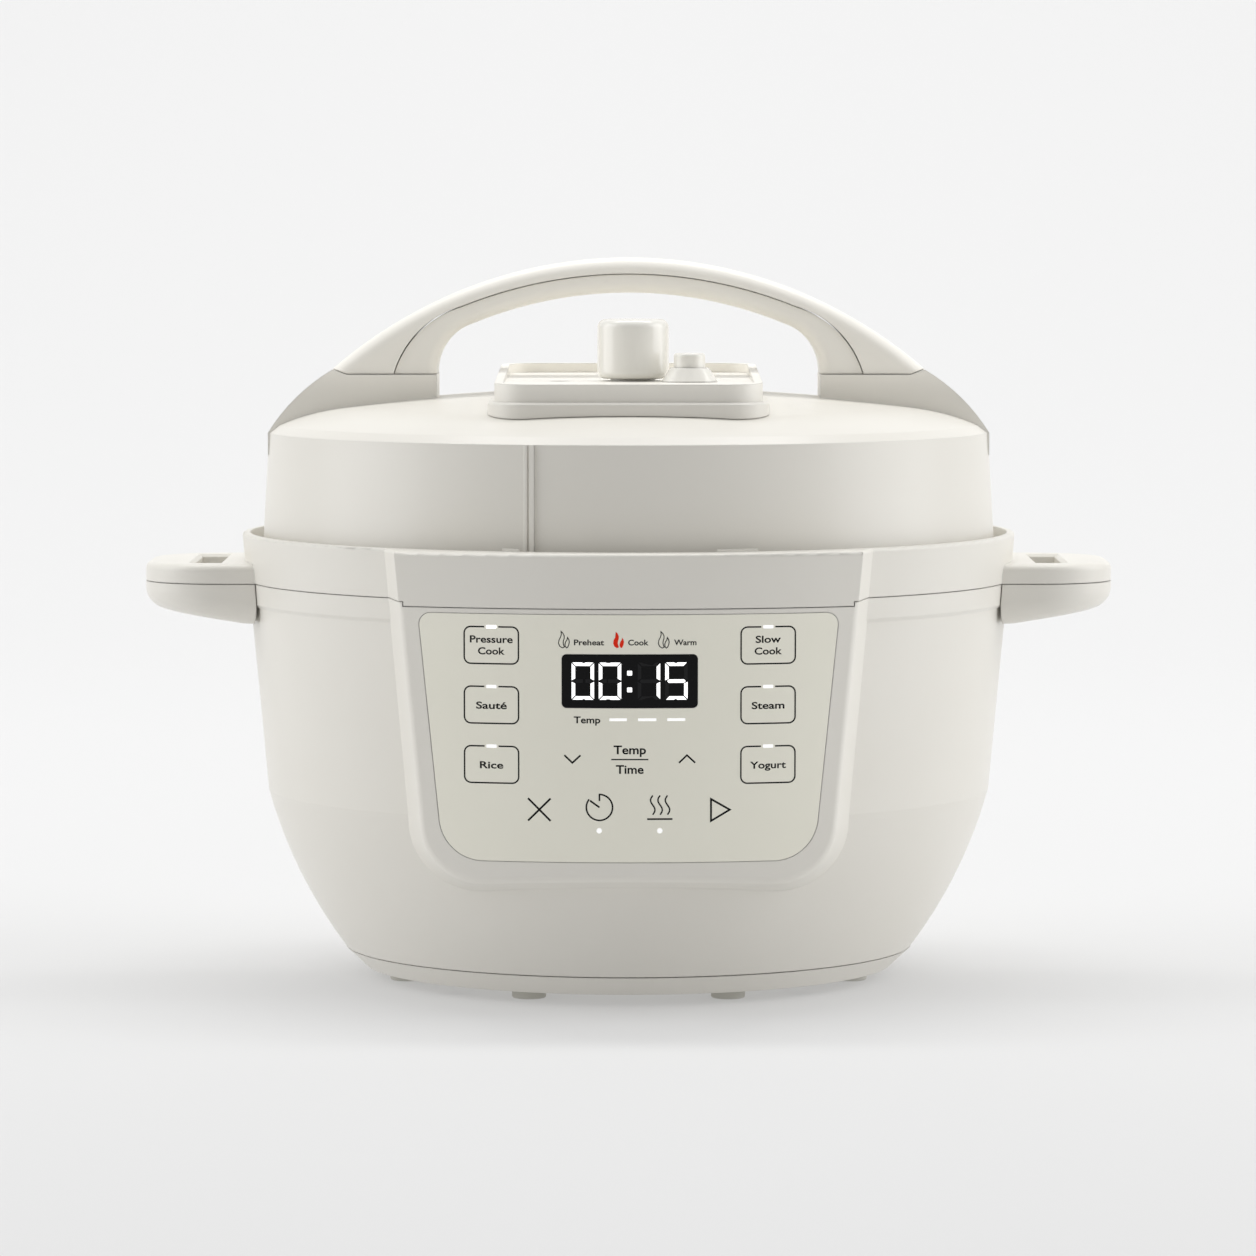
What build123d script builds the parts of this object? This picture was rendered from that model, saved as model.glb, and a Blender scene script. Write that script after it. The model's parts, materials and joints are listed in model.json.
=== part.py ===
from build123d import *
import math
import os

# Electric pressure cooker, about 4 quarts.  Millimetres, +Z up, front towards -Y.
# The origin is on the cooking pot's axis, in the plane that the feet stand on.

# ---- cooking pot ----
pot_bore_r = 101.5
pot_depth = 118.0
pot_wall = 1.2
pot_floor = 2.0
pot_lip_w = 11.3
pot_bottom_round = 8.0

# ---- heights of the stack under the pot ----
foot_height = 4.0
pan_floor = 2.5
bay_height = 22.5
strap_thick = 2.0
liner_wall = 1.0
plate_stand_off = 3.0
plate_thick = 8.5

# ---- outer body ----
body_gap = 32.0
shell_wall = 2.6
base_r = 96.5
pan_height = 7.0
pan_slope_w = 6.1
belly_r = 130.3
belly_z = 68.0
belly_bulge_r = 118.6
belly_bulge_z = 37.0
band_height = 7.5
band_step = 1.0
band_flare = 0.5
collar_height = 18.6
collar_flare = 1.4
collar_step = 1.6
collar_wall = 2.7
seam_gap = 0.25
through_all = 300.0

# ---- trough around the lid and its drain ----
trough_floor = 2.5
trough_drop = 8.5
spout_half_w = 5.0
spout_bore_r = 2.2
cup_half_w = 38.0
cup_low_z = 96.0
cup_top_z = 133.0
cup_back_y = 146.0
cup_wall = 1.6
cup_gap = 0.8
cup_tongue_x = 24.0
cup_tongue_w = 10.0
cup_tongue_t = 2.0

# ---- control pod and panel ----
pod_front = 146.0
pod_plan_r = 200.0
pod_lean = 4.0
pod_top_half_w = 74.0
pod_bottom_half_w = 65.0
pod_bottom_z = 50.5
pod_corner_r = 17.0
pod_draft = 12.0
pod_edge_r = 3.0
panel_margin_top = 2.0
panel_top_half_w = 71.7
panel_bottom_half_w = 63.2
panel_bottom_z = 55.4
panel_corner_r = 15.0
panel_top_corner_r = 4.0
panel_thick = 1.2
window_w = 46.2
window_h = 18.4
window_x = 0.4
window_z = 117.4
window_corner_r = 1.6
key_column_x = 46.6
key_row_z = (131.3, 111.2, 90.8)
touch_row_x = (-30.3, -9.9, 10.6, 31.2)
touch_row_z = 74.3
arrow_x = (-19.2, 19.8)
arrow_row_z = 91.0

# ---- side handles ----
grip_reach = 34.3
grip_half_w = 38.0
grip_tip_r = 27.0
grip_top_drop = 10.1
grip_depth_root = 14.5
grip_depth_tip = 8.0
grip_wall = 2.4
grip_under_r = 7.5
slot_w = 9.4
slot_half_l = 27.5
slot_inset = 8.6

# ---- base, feet and mains inlet ----
foot_pad_r = 6.0
foot_stem_r = 2.2
foot_side_x = 79.7
foot_side_y = 23.0
foot_end_x = 35.0
foot_end_y = 72.0
pan_screw_r = 86.0
pan_screw_angles = (45, 135, 225, 315)
collar_screw_r = 128.0
collar_screw_angles = (45, 135, 225, 315)
inlet_half_w = 13.6
inlet_wall = 2.6
inlet_height = 18.2
inlet_low_rise = 1.3
inlet_face_y = 111.0
inlet_depth = 25.0
inlet_recess = 15.0
inlet_pin_inset = 4.6

# ---- heating and sensing ----
plate_r = 92.0
plate_bolt_r = 84.0
plate_bolt_angles = (0, 60, 120, 180, 240, 300)
element_r = 62.0
element_wire_r = 4.0
liner_hole_r = 70.0
sensor_r = 15.0
sensor_stem_r = 5.0
strap_half_l = 92.0
switch_x = 45.0

# ---- boards ----
board_thick = 1.6
power_board_limits = (-73.0, -17.0, -28.0, 48.0)
power_board_rise = 3.0
control_board_y = 126.0
control_board_half_w = 57.0
ribbon_x = -4.0
ribbon_w = 8.0
ribbon_t = 0.6
terminal_h = 6.0
lead_r = 1.3

# ---- bayonet between the liner's rim and the lid ----
rim_thick = 2.0
rim_w = 11.0
lug_count = 6
lug_reach = 5.0
lug_span_deg = 24.0
lug_play = 2.5
lug_thick = 2.0
skirt_play = 2.5
skirt_thick = 1.5

# ---- pressed steel lid ----
steel_thick = 1.5
steel_flat_r = 100.0
steel_rim_rise = 16.0
steel_rise = 14.5
lid_screw_r = 95.0
lid_screw_angles = (45, 135, 225, 315)

# ---- lid cover ----
lid_edge_rise = 33.1
lid_edge_inset = 8.4
lid_wall_lean = 2.7
lid_drop = 43.6
lid_shell = 2.5
shoulder_w = 3.4
shoulder_h = 2.7
dome_rise = 12.7
dome_knee_r = 104.0
dome_knee_drop = 6.5
lid_mark_x = -33.5
deck_gap = 0.2

# ---- carrying handle over the lid ----
arch_top_rise = 62.5
arch_foot_x = 106.2
arch_foot_rise = 22.9
joint_rise = 21.1
arch_half_depth = 16.0
arch_inner_x = 68.8
arch_inner_knee_x = 56.0
arch_inner_knee_rise = 39.0
arch_inner_top_rise = 50.1
seam_x = 84.0
seam_knee_x = 60.0
seam_knee_rise = 45.0
seam_top_rise = 56.7
arch_screw_x = (76.0, 92.0)
arch_screw_y = 8.0
pylon_half_depth = 17.0
arch_round = 5.0
grip_round = 4.0

# ---- valve deck on the lid ----
deck_half_w = 46.5
deck_front = 102.0
deck_back = 45.0
deck_rise = 19.9
deck_corner_r = 13.0
deck_ledge_w = 2.3
deck_ledge_drop = 6.2
deck_rim_rise = 3.5
deck_rim_w = 3.0
deck_wall = 2.5

# ---- steam release ----
knob_x = 1.6
knob_y = -57.0
knob_r = 12.65
knob_height = 20.9
knob_gap = 0.8
sleeve_r = 8.0
pipe_r = 4.5
pipe_bore_r = 2.4
pipe_rise = 11.5
button_x = 21.3
button_y = -70.0
button_r = 5.5
button_stem_r = 3.6
socket_r = 8.0
socket_drop = 9.5
button_height = 5.3
button_travel = 3.0
closed_spring_h = 5.7
bezel_top_r = 6.8
bezel_foot_r = 9.9
bezel_height = 4.8
lever_arm = 14.0
lever_drop = 12.9
lever_nose_lift = 1.6
lever_nose_r = 1.5
lever_pin_r = 1.5
lever_ear_y = 9.2
float_x = -24.0
float_y = -62.0
float_r = 3.0

# ---- shared clearances ----
slide_gap = 0.4
pin_gap = 0.05
nest_gap = 0.3
screw_r = 1.5
screw_head_r = 2.9
screw_gap = 0.1
boss_r = 4.0

# ---- heights and radii that follow from the sizes above ----
floor_top_z = foot_height + pan_floor
strap_z = floor_top_z + bay_height
liner_floor_z = strap_z + strap_thick
plate_z = liner_floor_z + liner_wall + plate_stand_off
pot_base_z = plate_z + plate_thick
pot_rim_z = pot_base_z + pot_floor + pot_depth
rim_top_z = pot_rim_z - pot_wall - nest_gap
rim_z = rim_top_z - rim_thick
collar_top_z = rim_z + 0.6
seam_z = collar_top_z - collar_height
side_seam_z = seam_z + collar_step
pan_top_z = foot_height + pan_height
lid_edge_z = pot_rim_z + lid_edge_rise
deck_z = lid_edge_z + deck_rise
pot_outer_r = pot_bore_r + pot_wall
liner_bore_r = pot_outer_r + 2.3
liner_r = liner_bore_r + liner_wall
rim_r = liner_bore_r + rim_w
lug_r = rim_r + lug_reach
skirt_bore_r = lug_r + skirt_play
skirt_r = skirt_bore_r + skirt_thick
body_r = liner_r + body_gap
lid_r = body_r - lid_edge_inset
lid_foot_r = lid_r + lid_wall_lean
lid_low_z = lid_edge_z - lid_drop
trough_z = rim_z - trough_drop
spout_low_z = cup_top_z + 1.5
cup_tongue_z = cup_top_z - 6.0
neck_r = body_r - band_flare - band_step
inlet_low_z = pan_top_z + inlet_low_rise
inlet_top_z = inlet_low_z + inlet_height
inlet_back_y = inlet_face_y - inlet_depth
power_board_z = floor_top_z + power_board_rise
grip_top_z = collar_top_z - grip_top_drop
grip_low_z = side_seam_z - grip_depth_root
grip_tip = body_r + grip_reach + collar_flare
grip_screw_x = grip_tip - 10.0
grip_screw_y = 18.0
grip_screw_head_z = side_seam_z - 6.1
steel_flat_z = pot_rim_z + steel_rim_rise
skirt_low_z = rim_z - lug_play - lug_thick - 1.0
lever_z = deck_z - lever_drop
nose_top = lever_nose_lift + lever_nose_r + nest_gap
pipe_top_z = deck_z + pipe_rise


def xz_face(*edges):
    return Plane.XZ * make_face(Wire(list(edges)))


def xz_polygon(*points):
    return Plane.XZ * make_face(Polyline(*points, close=True))


def turned(face):
    return revolve(face, axis=Axis.Z)


def rod(radius, z_low, z_high, x=0, y=0):
    height = z_high - z_low
    return Pos(x, y, z_low + height / 2) * Cylinder(radius, height)


def tube(outer_r, inner_r, z_low, z_high, x=0, y=0):
    return rod(outer_r, z_low, z_high, x, y) - rod(inner_r, z_low - 1, z_high + 1, x, y)


def block(x, y, z):
    """A box from pairs of low and high limits."""
    size = [limits[1] - limits[0] for limits in (x, y, z)]
    middle = [(limits[1] + limits[0]) / 2 for limits in (x, y, z)]
    return Pos(*middle) * Box(*size)


def coil(radius, wire_r, z_low, z_high, turns, x=0, y=0):
    """A coil spring whose wire stays between two heights."""
    height = z_high - z_low - 2 * wire_r
    path = Helix(pitch=height / turns, height=height, radius=radius)
    start = Plane(origin=path @ 0, z_dir=path % 0)
    return Pos(x, y, z_low + wire_r) * sweep(start * Circle(wire_r), path, is_frenet=True)


def screw(x, y, head_z, length, up=True):
    """A pan-head screw; up means that the shank points up from the head."""
    head_h = 1.6
    body = rod(screw_r, 0, length) + rod(screw_head_r, -head_h, 0)
    body -= Pos(0, 0, -head_h) * extrude(Rot(0, 0, 45) * Rectangle(2.6, 0.7), 0.8)
    body -= Pos(0, 0, -head_h) * extrude(Rot(0, 0, -45) * Rectangle(2.6, 0.7), 0.8)
    if not up:
        body = Rot(180, 0, 0) * body
    return Pos(x, y, head_z) * body


def sag(radius, edge_r, drop):
    """How far an arc centred on the axis has fallen at a radius, if it falls by drop at edge_r."""
    round_r = (edge_r ** 2 + drop ** 2) / (2 * drop)
    return round_r - math.sqrt(round_r ** 2 - radius ** 2)


def polar(radius, angle_deg):
    angle = math.radians(angle_deg)
    return radius * math.cos(angle), radius * math.sin(angle)


# ---------------------------------------------------------------- body shells

def bowl(inset=0.0, below=0.0, above=0.0):
    """The round body as a solid, drawn inwards by inset and run on past both ends."""
    top_r = body_r - inset
    band_z = side_seam_z - band_height
    band_r = top_r - band_flare
    neck_r = band_r - band_step
    pan_r = base_r + pan_slope_w - inset
    side = [Line((0, pan_top_z - below), (pan_r, pan_top_z - below))]
    if below > 0:
        side.append(Line((pan_r, pan_top_z - below), (pan_r, pan_top_z)))
    side += [
        ThreePointArc((pan_r, pan_top_z), (belly_bulge_r - inset, belly_bulge_z),
                      (belly_r - inset, belly_z)),
        Line((belly_r - inset, belly_z), (neck_r, band_z - 1.2)),
        Line((neck_r, band_z - 1.2), (band_r, band_z)),
        Line((band_r, band_z), (top_r, side_seam_z + above)),
        Line((top_r, side_seam_z + above), (0, side_seam_z + above)),
        Line((0, side_seam_z + above), (0, pan_top_z - below)),
    ]
    return turned(xz_face(*side))


def pod_front_form(set_back=0.0, z_low=0.0, z_high=200.0):
    """The large leaning cone whose front gives the pod and the panel their gentle curve."""
    def radius(z):
        return pod_plan_r - set_back + pod_lean * (z - seam_z) / (seam_z - pod_bottom_z)
    cone = Cone(radius(z_low), radius(z_high), z_high - z_low)
    return Pos(0, pod_plan_r - pod_front, (z_low + z_high) / 2) * cone


def shield_outline(top_z, top_half_w, bottom_z, bottom_half_w, bottom_r=0.0, top_r=0.0):
    """The front outline of the pod and the panel: wide at the top, round at the bottom."""
    outline = make_face(Polyline((-top_half_w, top_z), (-bottom_half_w, bottom_z),
                                 (bottom_half_w, bottom_z), (top_half_w, top_z), close=True))
    if bottom_r > 0:
        outline = fillet(outline.vertices().sort_by(Axis.Y)[:2], bottom_r)
    if top_r > 0:
        outline = fillet(outline.vertices().sort_by(Axis.Y)[-2:], top_r)
    return outline


def pod_body(inset=0.0, high=None, edge_r=0.0):
    """The pod as a solid that reaches back inside the bowl; it widens towards its root."""
    top = side_seam_z if high is None else high
    spread = (pod_top_half_w - pod_bottom_half_w) / (seam_z - pod_bottom_z)
    half_top = pod_top_half_w + spread * (top - seam_z) - inset
    half_bottom = pod_bottom_half_w - inset
    outline = shield_outline(top, half_top, pod_bottom_z + inset, half_bottom, pod_corner_r - inset)
    front = Plane.XZ.offset(pod_front + 4) * outline
    grown = extrude(front, -(pod_front - 66), taper=-pod_draft)
    solid = grown & pod_front_form(inset, 0, top)
    if edge_r > 0:
        rim = [e for e in solid.edges() if e.center().Y < -pod_front + 18 and e.center().Z < top - 1]
        solid = fillet(rim, edge_r)
    return solid


def rear_boss(grow=0.0):
    """The block that carries the mains inlet at the back of the base."""
    half_w = inlet_half_w + inlet_wall + grow
    return block((-half_w, half_w), (inlet_back_y, inlet_face_y),
                 (pan_top_z, inlet_top_z + inlet_wall + grow))


def make_lower_housing():
    outer = bowl() + pod_body(edge_r=pod_edge_r)
    hidden = bowl(shell_wall, below=5, above=5) + pod_body(shell_wall, high=side_seam_z)
    outer += rear_boss() - bowl(shell_wall, below=5, above=5)
    shell = outer - hidden
    # the front of the top edge steps down where the pod starts
    pod_w = pod_top_half_w + 3
    shell -= block((-pod_w, pod_w), (-pod_front - 5, -body_r * 0.7), (seam_z - seam_gap, side_seam_z + 5))
    shell -= block((-200, 200), (-200, 200), (side_seam_z - seam_gap, side_seam_z + 5))
    # seat of the printed panel
    shell -= panel_form(seam_gap / 2, panel_thick + seam_gap / 2)
    for x, z, half_w, half_h in panel_windows():
        shell -= block((x - half_w, x + half_w), (-pod_front - 5, -pod_front + 16),
                       (z - half_h, z + half_h))
    # mains inlet
    gap = seam_gap
    shell -= block((-inlet_half_w - gap, inlet_half_w + gap), (inlet_back_y - 30, inlet_face_y + 5),
                   (inlet_low_z - gap, inlet_top_z + gap))
    # slots for the two tongues of the condensation cup, and the drain spout's notch
    for x in (-cup_tongue_x, cup_tongue_x):
        half = cup_tongue_w / 2 + slide_gap
        shell -= block((x - half, x + half), (body_r - 12, body_r + 5),
                       (cup_tongue_z - slide_gap, cup_tongue_z + cup_tongue_t + slide_gap))
    shell -= block((-spout_half_w - 0.5, spout_half_w + 0.5), (body_r - 12, body_r + 5),
                   (spout_low_z - 0.5, side_seam_z + 5))
    # bosses for the screws that hold the base pan
    for angle in pan_screw_angles:
        x, y = polar(pan_screw_r, angle)
        boss = rod(4.0, floor_top_z + 1.7, pan_top_z + 16, x, y)
        web_x, web_y = polar(pan_screw_r + 15, angle)
        web = Pos(web_x, web_y, pan_top_z + 10.5) * Rot(0, 0, angle) * Box(30, 2.4, 11)
        boss = (boss + web) & bowl(shell_wall - 0.4, below=8, above=0)
        shell += boss - rod(screw_r + screw_gap, 0, pan_top_z + 12, x, y)
    # bosses for the screws that hold the collar
    boss_top = trough_z - trough_floor - 9.2
    for angle in collar_screw_angles:
        x, y = polar(collar_screw_r, angle)
        web_x, web_y = polar(collar_screw_r + 6, angle)
        boss = rod(4.0, boss_top - 10, boss_top, x, y)
        boss += Pos(web_x, web_y, boss_top - 5) * Rot(0, 0, angle) * Box(12, 2.4, 10)
        boss = boss & bowl(shell_wall - 0.4, below=8, above=0)
        shell += boss - rod(screw_r + 0.3, 0, through_all, x, y)
    # posts for the control board
    for x, z in control_board_posts():
        post = Pos(x, -control_board_y - 2.6 - 6, z) * Rot(90, 0, 0) * Cylinder(3.2, 12)
        post = post & pod_body(shell_wall - 0.4, high=side_seam_z)
        shell += post - Pos(x, -control_board_y, z) * Rot(90, 0, 0) * Cylinder(0.95, 16)
    return keep_largest(shell)


def panel_form(grow=0.0, depth=None, lift=0.0):
    """The printed panel's plate, or with some growth the seat that it lies in."""
    thick = panel_thick if depth is None else depth
    top_z = side_seam_z - collar_step - panel_margin_top
    outline = shield_outline(top_z + grow, panel_top_half_w + grow, panel_bottom_z - grow,
                             panel_bottom_half_w + grow, panel_corner_r + grow, panel_top_corner_r + grow)
    slab = extrude(Plane.XZ.offset(pod_front - 30) * outline, 40)
    return slab & (pod_front_form(-lift, 0, 200) - pod_front_form(thick, 0, 200))


def panel_windows():
    """Middle and half size of each window behind the panel: the display and the key lights."""
    windows = [(window_x, window_z, window_w / 2, window_h / 2)]
    for x in (-key_column_x, key_column_x):
        for z in key_row_z:
            windows.append((x, z + 6.3, 2.2, 1.0))
    return windows


def make_base_pan():
    top_r = base_r + pan_slope_w
    outline = xz_face(
        Line((0, foot_height), (base_r - 1.0, foot_height)),
        Line((base_r - 1.0, foot_height), (base_r, foot_height + 1.0)),
        Line((base_r, foot_height + 1.0), (top_r, pan_top_z - seam_gap)),
        Line((top_r, pan_top_z - seam_gap), (top_r - shell_wall, pan_top_z - seam_gap)),
        Line((top_r - shell_wall, pan_top_z - seam_gap), (base_r - shell_wall, floor_top_z)),
        Line((base_r - shell_wall, floor_top_z), (0, floor_top_z)),
        Line((0, floor_top_z), (0, foot_height)),
    )
    pan = turned(outline)
    spigot_r = base_r - shell_wall
    spigot = tube(spigot_r, spigot_r - 1.8, floor_top_z, pan_top_z + 4)
    inlet_w = inlet_half_w + inlet_wall + 1
    spigot -= block((-inlet_w, inlet_w), (0, 200), (floor_top_z, 40))
    pan += spigot
    # vent slots in five rows
    for row in range(-2, 3):
        for side in (-1, 1):
            x = side * 32.0
            pan -= block((x - 14, x + 14), (row * 9.0 - 1.5, row * 9.0 + 1.5),
                         (foot_height - 1, floor_top_z + 1))
    for x, y in foot_places():
        pan -= rod(foot_stem_r + nest_gap, foot_height - 1, floor_top_z + 1, x, y)
    for angle in pan_screw_angles:
        x, y = polar(pan_screw_r, angle)
        pan += rod(5.0, floor_top_z - 0.5, floor_top_z + 1.5, x, y)
        pan -= rod(screw_r + 0.3, foot_height - 1, floor_top_z + 6, x, y)
        pan -= rod(screw_head_r + 0.4, foot_height - 1, foot_height + 1.7, x, y)
    for x, y in power_board_posts():
        pan += tube(3.0, 1.0, floor_top_z, power_board_z, x, y)
    return pan


def foot_places():
    places = []
    for side in (-1, 1):
        for end in (-1, 1):
            places.append((side * foot_side_x, end * foot_side_y))
            places.append((side * foot_end_x, end * foot_end_y))
    return places


def make_feet():
    feet = []
    for x, y in foot_places():
        foot = fillet(rod(foot_pad_r, 0, foot_height, x, y).edges().sort_by(Axis.Z)[0], 0.8)
        foot += rod(foot_stem_r, foot_height, floor_top_z + 0.4, x, y)
        foot += rod(foot_stem_r + 0.9, floor_top_z + 0.1, floor_top_z + 1.4, x, y)
        feet.append(foot)
    return Compound(children=feet)


def make_pan_screws():
    screws = []
    for angle in pan_screw_angles:
        x, y = polar(pan_screw_r, angle)
        screws.append(screw(x, y, foot_height + 1.7, 16.0))
    return Compound(children=screws)


def grip_plan(side, inset=0.0):
    """The side handle's outline seen from above, from inside the body to the rounded tip."""
    tip = grip_tip - inset
    half = grip_half_w - inset
    root = body_r - 22
    outline = make_face(Polyline((root, -half), (tip, -half), (tip, half), (root, half), close=True))
    corners = outline.vertices().sort_by(Axis.X)[-2:]
    outline = fillet(corners, grip_tip_r - inset)
    if side < 0:
        outline = Rot(0, 0, 180) * outline
    return outline


def grip_slot(side, grow=0.0):
    middle = side * (body_r + slot_inset + slot_w / 2)
    half_w = slot_w / 2 + grow
    half_l = slot_half_l + grow
    return block((middle - half_w, middle + half_w), (-half_l, half_l), (grip_low_z - 20, collar_top_z))


def body_core(grow):
    """The round body as a plain solid, to trim what meets it from outside."""
    r = body_r + grow
    return turned(xz_polygon((0, 0), (r - 4, 0), (r - band_flare, side_seam_z - band_height),
                             (r, side_seam_z), (r + collar_flare, collar_top_z), (0, collar_top_z)))


def make_handle_grip(side):
    """The hollow lower half of a side handle, screwed up against the collar."""
    def under_form(inset):
        low_root = grip_low_z + inset
        low_tip = side_seam_z - grip_depth_tip + inset
        high = side_seam_z + (5 if inset else -seam_gap)
        prism = extrude(xz_polygon((body_r - 30, low_root), (body_r, low_root), (grip_tip + 5, low_tip),
                                   (grip_tip + 5, high), (body_r - 30, high)), 60, both=True)
        prism &= extrude(Pos(0, 0, grip_low_z - 10) * grip_plan(1, inset), 60)
        low_edges = [e for e in prism.edges() if e.bounding_box().max.Z < low_tip + 0.5
                     and e.center().X > body_r + 1]
        prism = fillet(low_edges, grip_under_r - inset)
        return Rot(0, 0, 90 - 90 * side) * prism

    outer = under_form(0.0)
    grip = outer - under_form(grip_wall)
    grip += (outer & grip_slot(side, grip_wall)) - grip_slot(side)
    grip = grip - grip_slot(side) - body_core(nest_gap)
    for y in (-grip_screw_y, grip_screw_y):
        x = side * grip_screw_x
        grip += (rod(5.0, grip_low_z - 5, side_seam_z - seam_gap, x, y) & outer)
        grip -= rod(screw_r + 0.3, grip_low_z - 6, side_seam_z + 1, x, y)
        grip -= rod(screw_head_r + 0.4, grip_low_z - 6, grip_screw_head_z, x, y)
    return keep_largest(grip)


def keep_largest(shape):
    return max(shape.solids(), key=lambda piece: piece.volume)


def make_grip_screws():
    screws = []
    for side in (-1, 1):
        for y in (-grip_screw_y, grip_screw_y):
            screws.append(screw(side * grip_screw_x, y, grip_screw_head_z, 10.5))
    return Compound(children=screws)


def make_collar_ring():
    """The top ring of the body with its trough, the pod's brow and the tops of the handles."""
    low = seam_z
    outer = turned(xz_polygon((0, low), (body_r, low), (body_r + collar_flare, collar_top_z),
                              (0, collar_top_z)))
    outer += pod_brow(0.0)
    top_edges = [e for e in outer.edges() if e.center().Z > collar_top_z - 0.01]
    outer = fillet(top_edges, 1.1)
    well_r = body_r - collar_wall
    hollow = turned(xz_polygon((0, trough_z), (well_r, trough_z),
                               (well_r + collar_flare, collar_top_z + 1), (0, collar_top_z + 1)))
    under_z = trough_z - trough_floor
    under = turned(xz_polygon((0, low - 1), (well_r, low - 1), (well_r, under_z), (0, under_z)))
    brow = pod_brow(collar_wall + 0.3)
    under += brow & block((-200, 200), (-200, 0), (low - 1, under_z))
    brow_room = block((-200, 200), (-200, 0), (low - 1, collar_top_z - collar_wall))
    under += (brow - rod(well_r + collar_flare + collar_wall, 0, through_all)) & brow_room
    ring = outer - hollow - under
    # the round part's lower edge sits higher than the pod's
    pod_w = pod_top_half_w + 3
    sides = block((-200, 200), (-200, 200), (low - 1, side_seam_z))
    sides -= block((-pod_w + seam_gap, pod_w - seam_gap), (-200, -body_r * 0.7 - seam_gap), (0, through_all))
    ring -= sides
    # handle tops
    for side in (-1, 1):
        plan = Pos(0, 0, side_seam_z) * grip_plan(side)
        top = extrude(plan, grip_top_z - side_seam_z)
        rim = [e for e in top.edges() if e.center().Z > grip_top_z - 0.01]
        top = fillet(rim, 2.6)
        inner = extrude(Pos(0, 0, side_seam_z - 1) * grip_plan(side, grip_wall),
                        grip_top_z - side_seam_z - 1.6)
        inner -= grip_slot(side, grip_wall)
        for y in (-grip_screw_y, grip_screw_y):
            inner -= rod(3.4, 0, through_all, side * grip_screw_x, y)
        top = top - inner - grip_slot(side)
        for y in (-grip_screw_y, grip_screw_y):
            top -= rod(screw_r + screw_gap, side_seam_z - 1, grip_screw_head_z + 11.5,
                       side * grip_screw_x, y)
        ring += top - body_core(-0.6)
        bevel = [e for e in ring.edges() if abs(e.center().Z - grip_top_z) < 0.01
                 and abs(abs(e.center().X) - body_r - slot_inset - slot_w / 2) < slot_w / 2 + 0.1
                 and abs(e.center().Y) < slot_half_l + 0.1]
        if bevel:
            ring = chamfer(bevel, 1.2)
    # hole for the liner, and the spigot that carries its rim
    ring -= rod(liner_r + 0.5, 0, through_all)
    ring += tube(liner_r + 3.5, liner_r + 0.5, under_z, rim_z)
    # drain spout at the back
    ring += block((-spout_half_w, spout_half_w), (body_r - 10, cup_back_y - 1),
                  (spout_low_z, under_z + 0.5))
    drain_top = (body_r - 6.5, trough_z + 1)
    drain_foot = (cup_back_y - 4.0, spout_low_z - 1)
    run = math.hypot(drain_foot[0] - drain_top[0], drain_top[1] - drain_foot[1])
    lean = math.degrees(math.atan2(drain_foot[0] - drain_top[0], drain_top[1] - drain_foot[1]))
    middle = [(a + b) / 2 for a, b in zip(drain_top, drain_foot)]
    ring -= Pos(0, middle[0], middle[1]) * Rot(lean, 0, 0) * Cylinder(spout_bore_r, run)
    # bosses under the trough for the screws that join the collar to the housing
    for angle in collar_screw_angles:
        x, y = polar(collar_screw_r, angle)
        boss = rod(3.6, under_z - 9, under_z + 0.5, x, y)
        ring += boss - rod(screw_r + screw_gap, 0, under_z - 0.8, x, y)
    # small marks on the rim where the lid's mark points when open and closed
    for x_low, x_high in ((-43.0, -37.0), (30.0, 44.0)):
        lip = body_r - collar_wall + collar_flare
        mark = block((x_low, x_high), (-lip - 1.2, -lip + 8), (collar_top_z - 6, collar_top_z + 0.9))
        ring += mark & tube(lip + 0.9, lip - 0.9, 0, through_all)
    return keep_largest(ring)


def pod_brow(inset):
    """The part of the collar that carries the pod's front up to the rim."""
    outline = shield_outline(collar_top_z, pod_top_half_w + 1.8 - inset, seam_z, pod_top_half_w - inset)
    front = Plane.XZ.offset(pod_front + 4) * outline
    grown = extrude(front, -(pod_front - 66), taper=-pod_draft)
    band = block((-100, 100), (-200, 0), (seam_z, collar_top_z))
    return grown & pod_front_form(inset, 0, 200) & band


def make_lugged_liner():
    """The pressed steel liner that the cooking pot stands in, with the bayonet rim."""
    body = tube(liner_r, liner_bore_r, liner_floor_z, rim_z + 0.5)
    floor = tube(liner_r, liner_hole_r, liner_floor_z, liner_floor_z + liner_wall)
    rim = tube(rim_r, liner_bore_r, rim_z, rim_top_z)
    liner = body + floor + rim
    for index in range(lug_count):
        liner += lug(rim_r - 2, lug_r, rim_z, rim_top_z, index * 360 / lug_count)
    for angle in plate_bolt_angles:
        x, y = polar(plate_bolt_r, angle)
        liner -= rod(2.3, liner_floor_z - 1, liner_floor_z + 2, x, y)
    return liner


def lug(inner_r, outer_r, z_low, z_high, angle):
    ring = tube(outer_r, inner_r, z_low, z_high)
    reach = outer_r * 1.4
    half = math.radians(lug_span_deg / 2)
    wedge = make_face(Polyline((0, 0), (reach * math.cos(half), -reach * math.sin(half)),
                               (reach * math.cos(half), reach * math.sin(half)), close=True))
    wedge = extrude(Pos(0, 0, z_low - 1) * wedge, z_high - z_low + 2)
    return ring & (Rot(0, 0, angle) * wedge)


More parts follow.
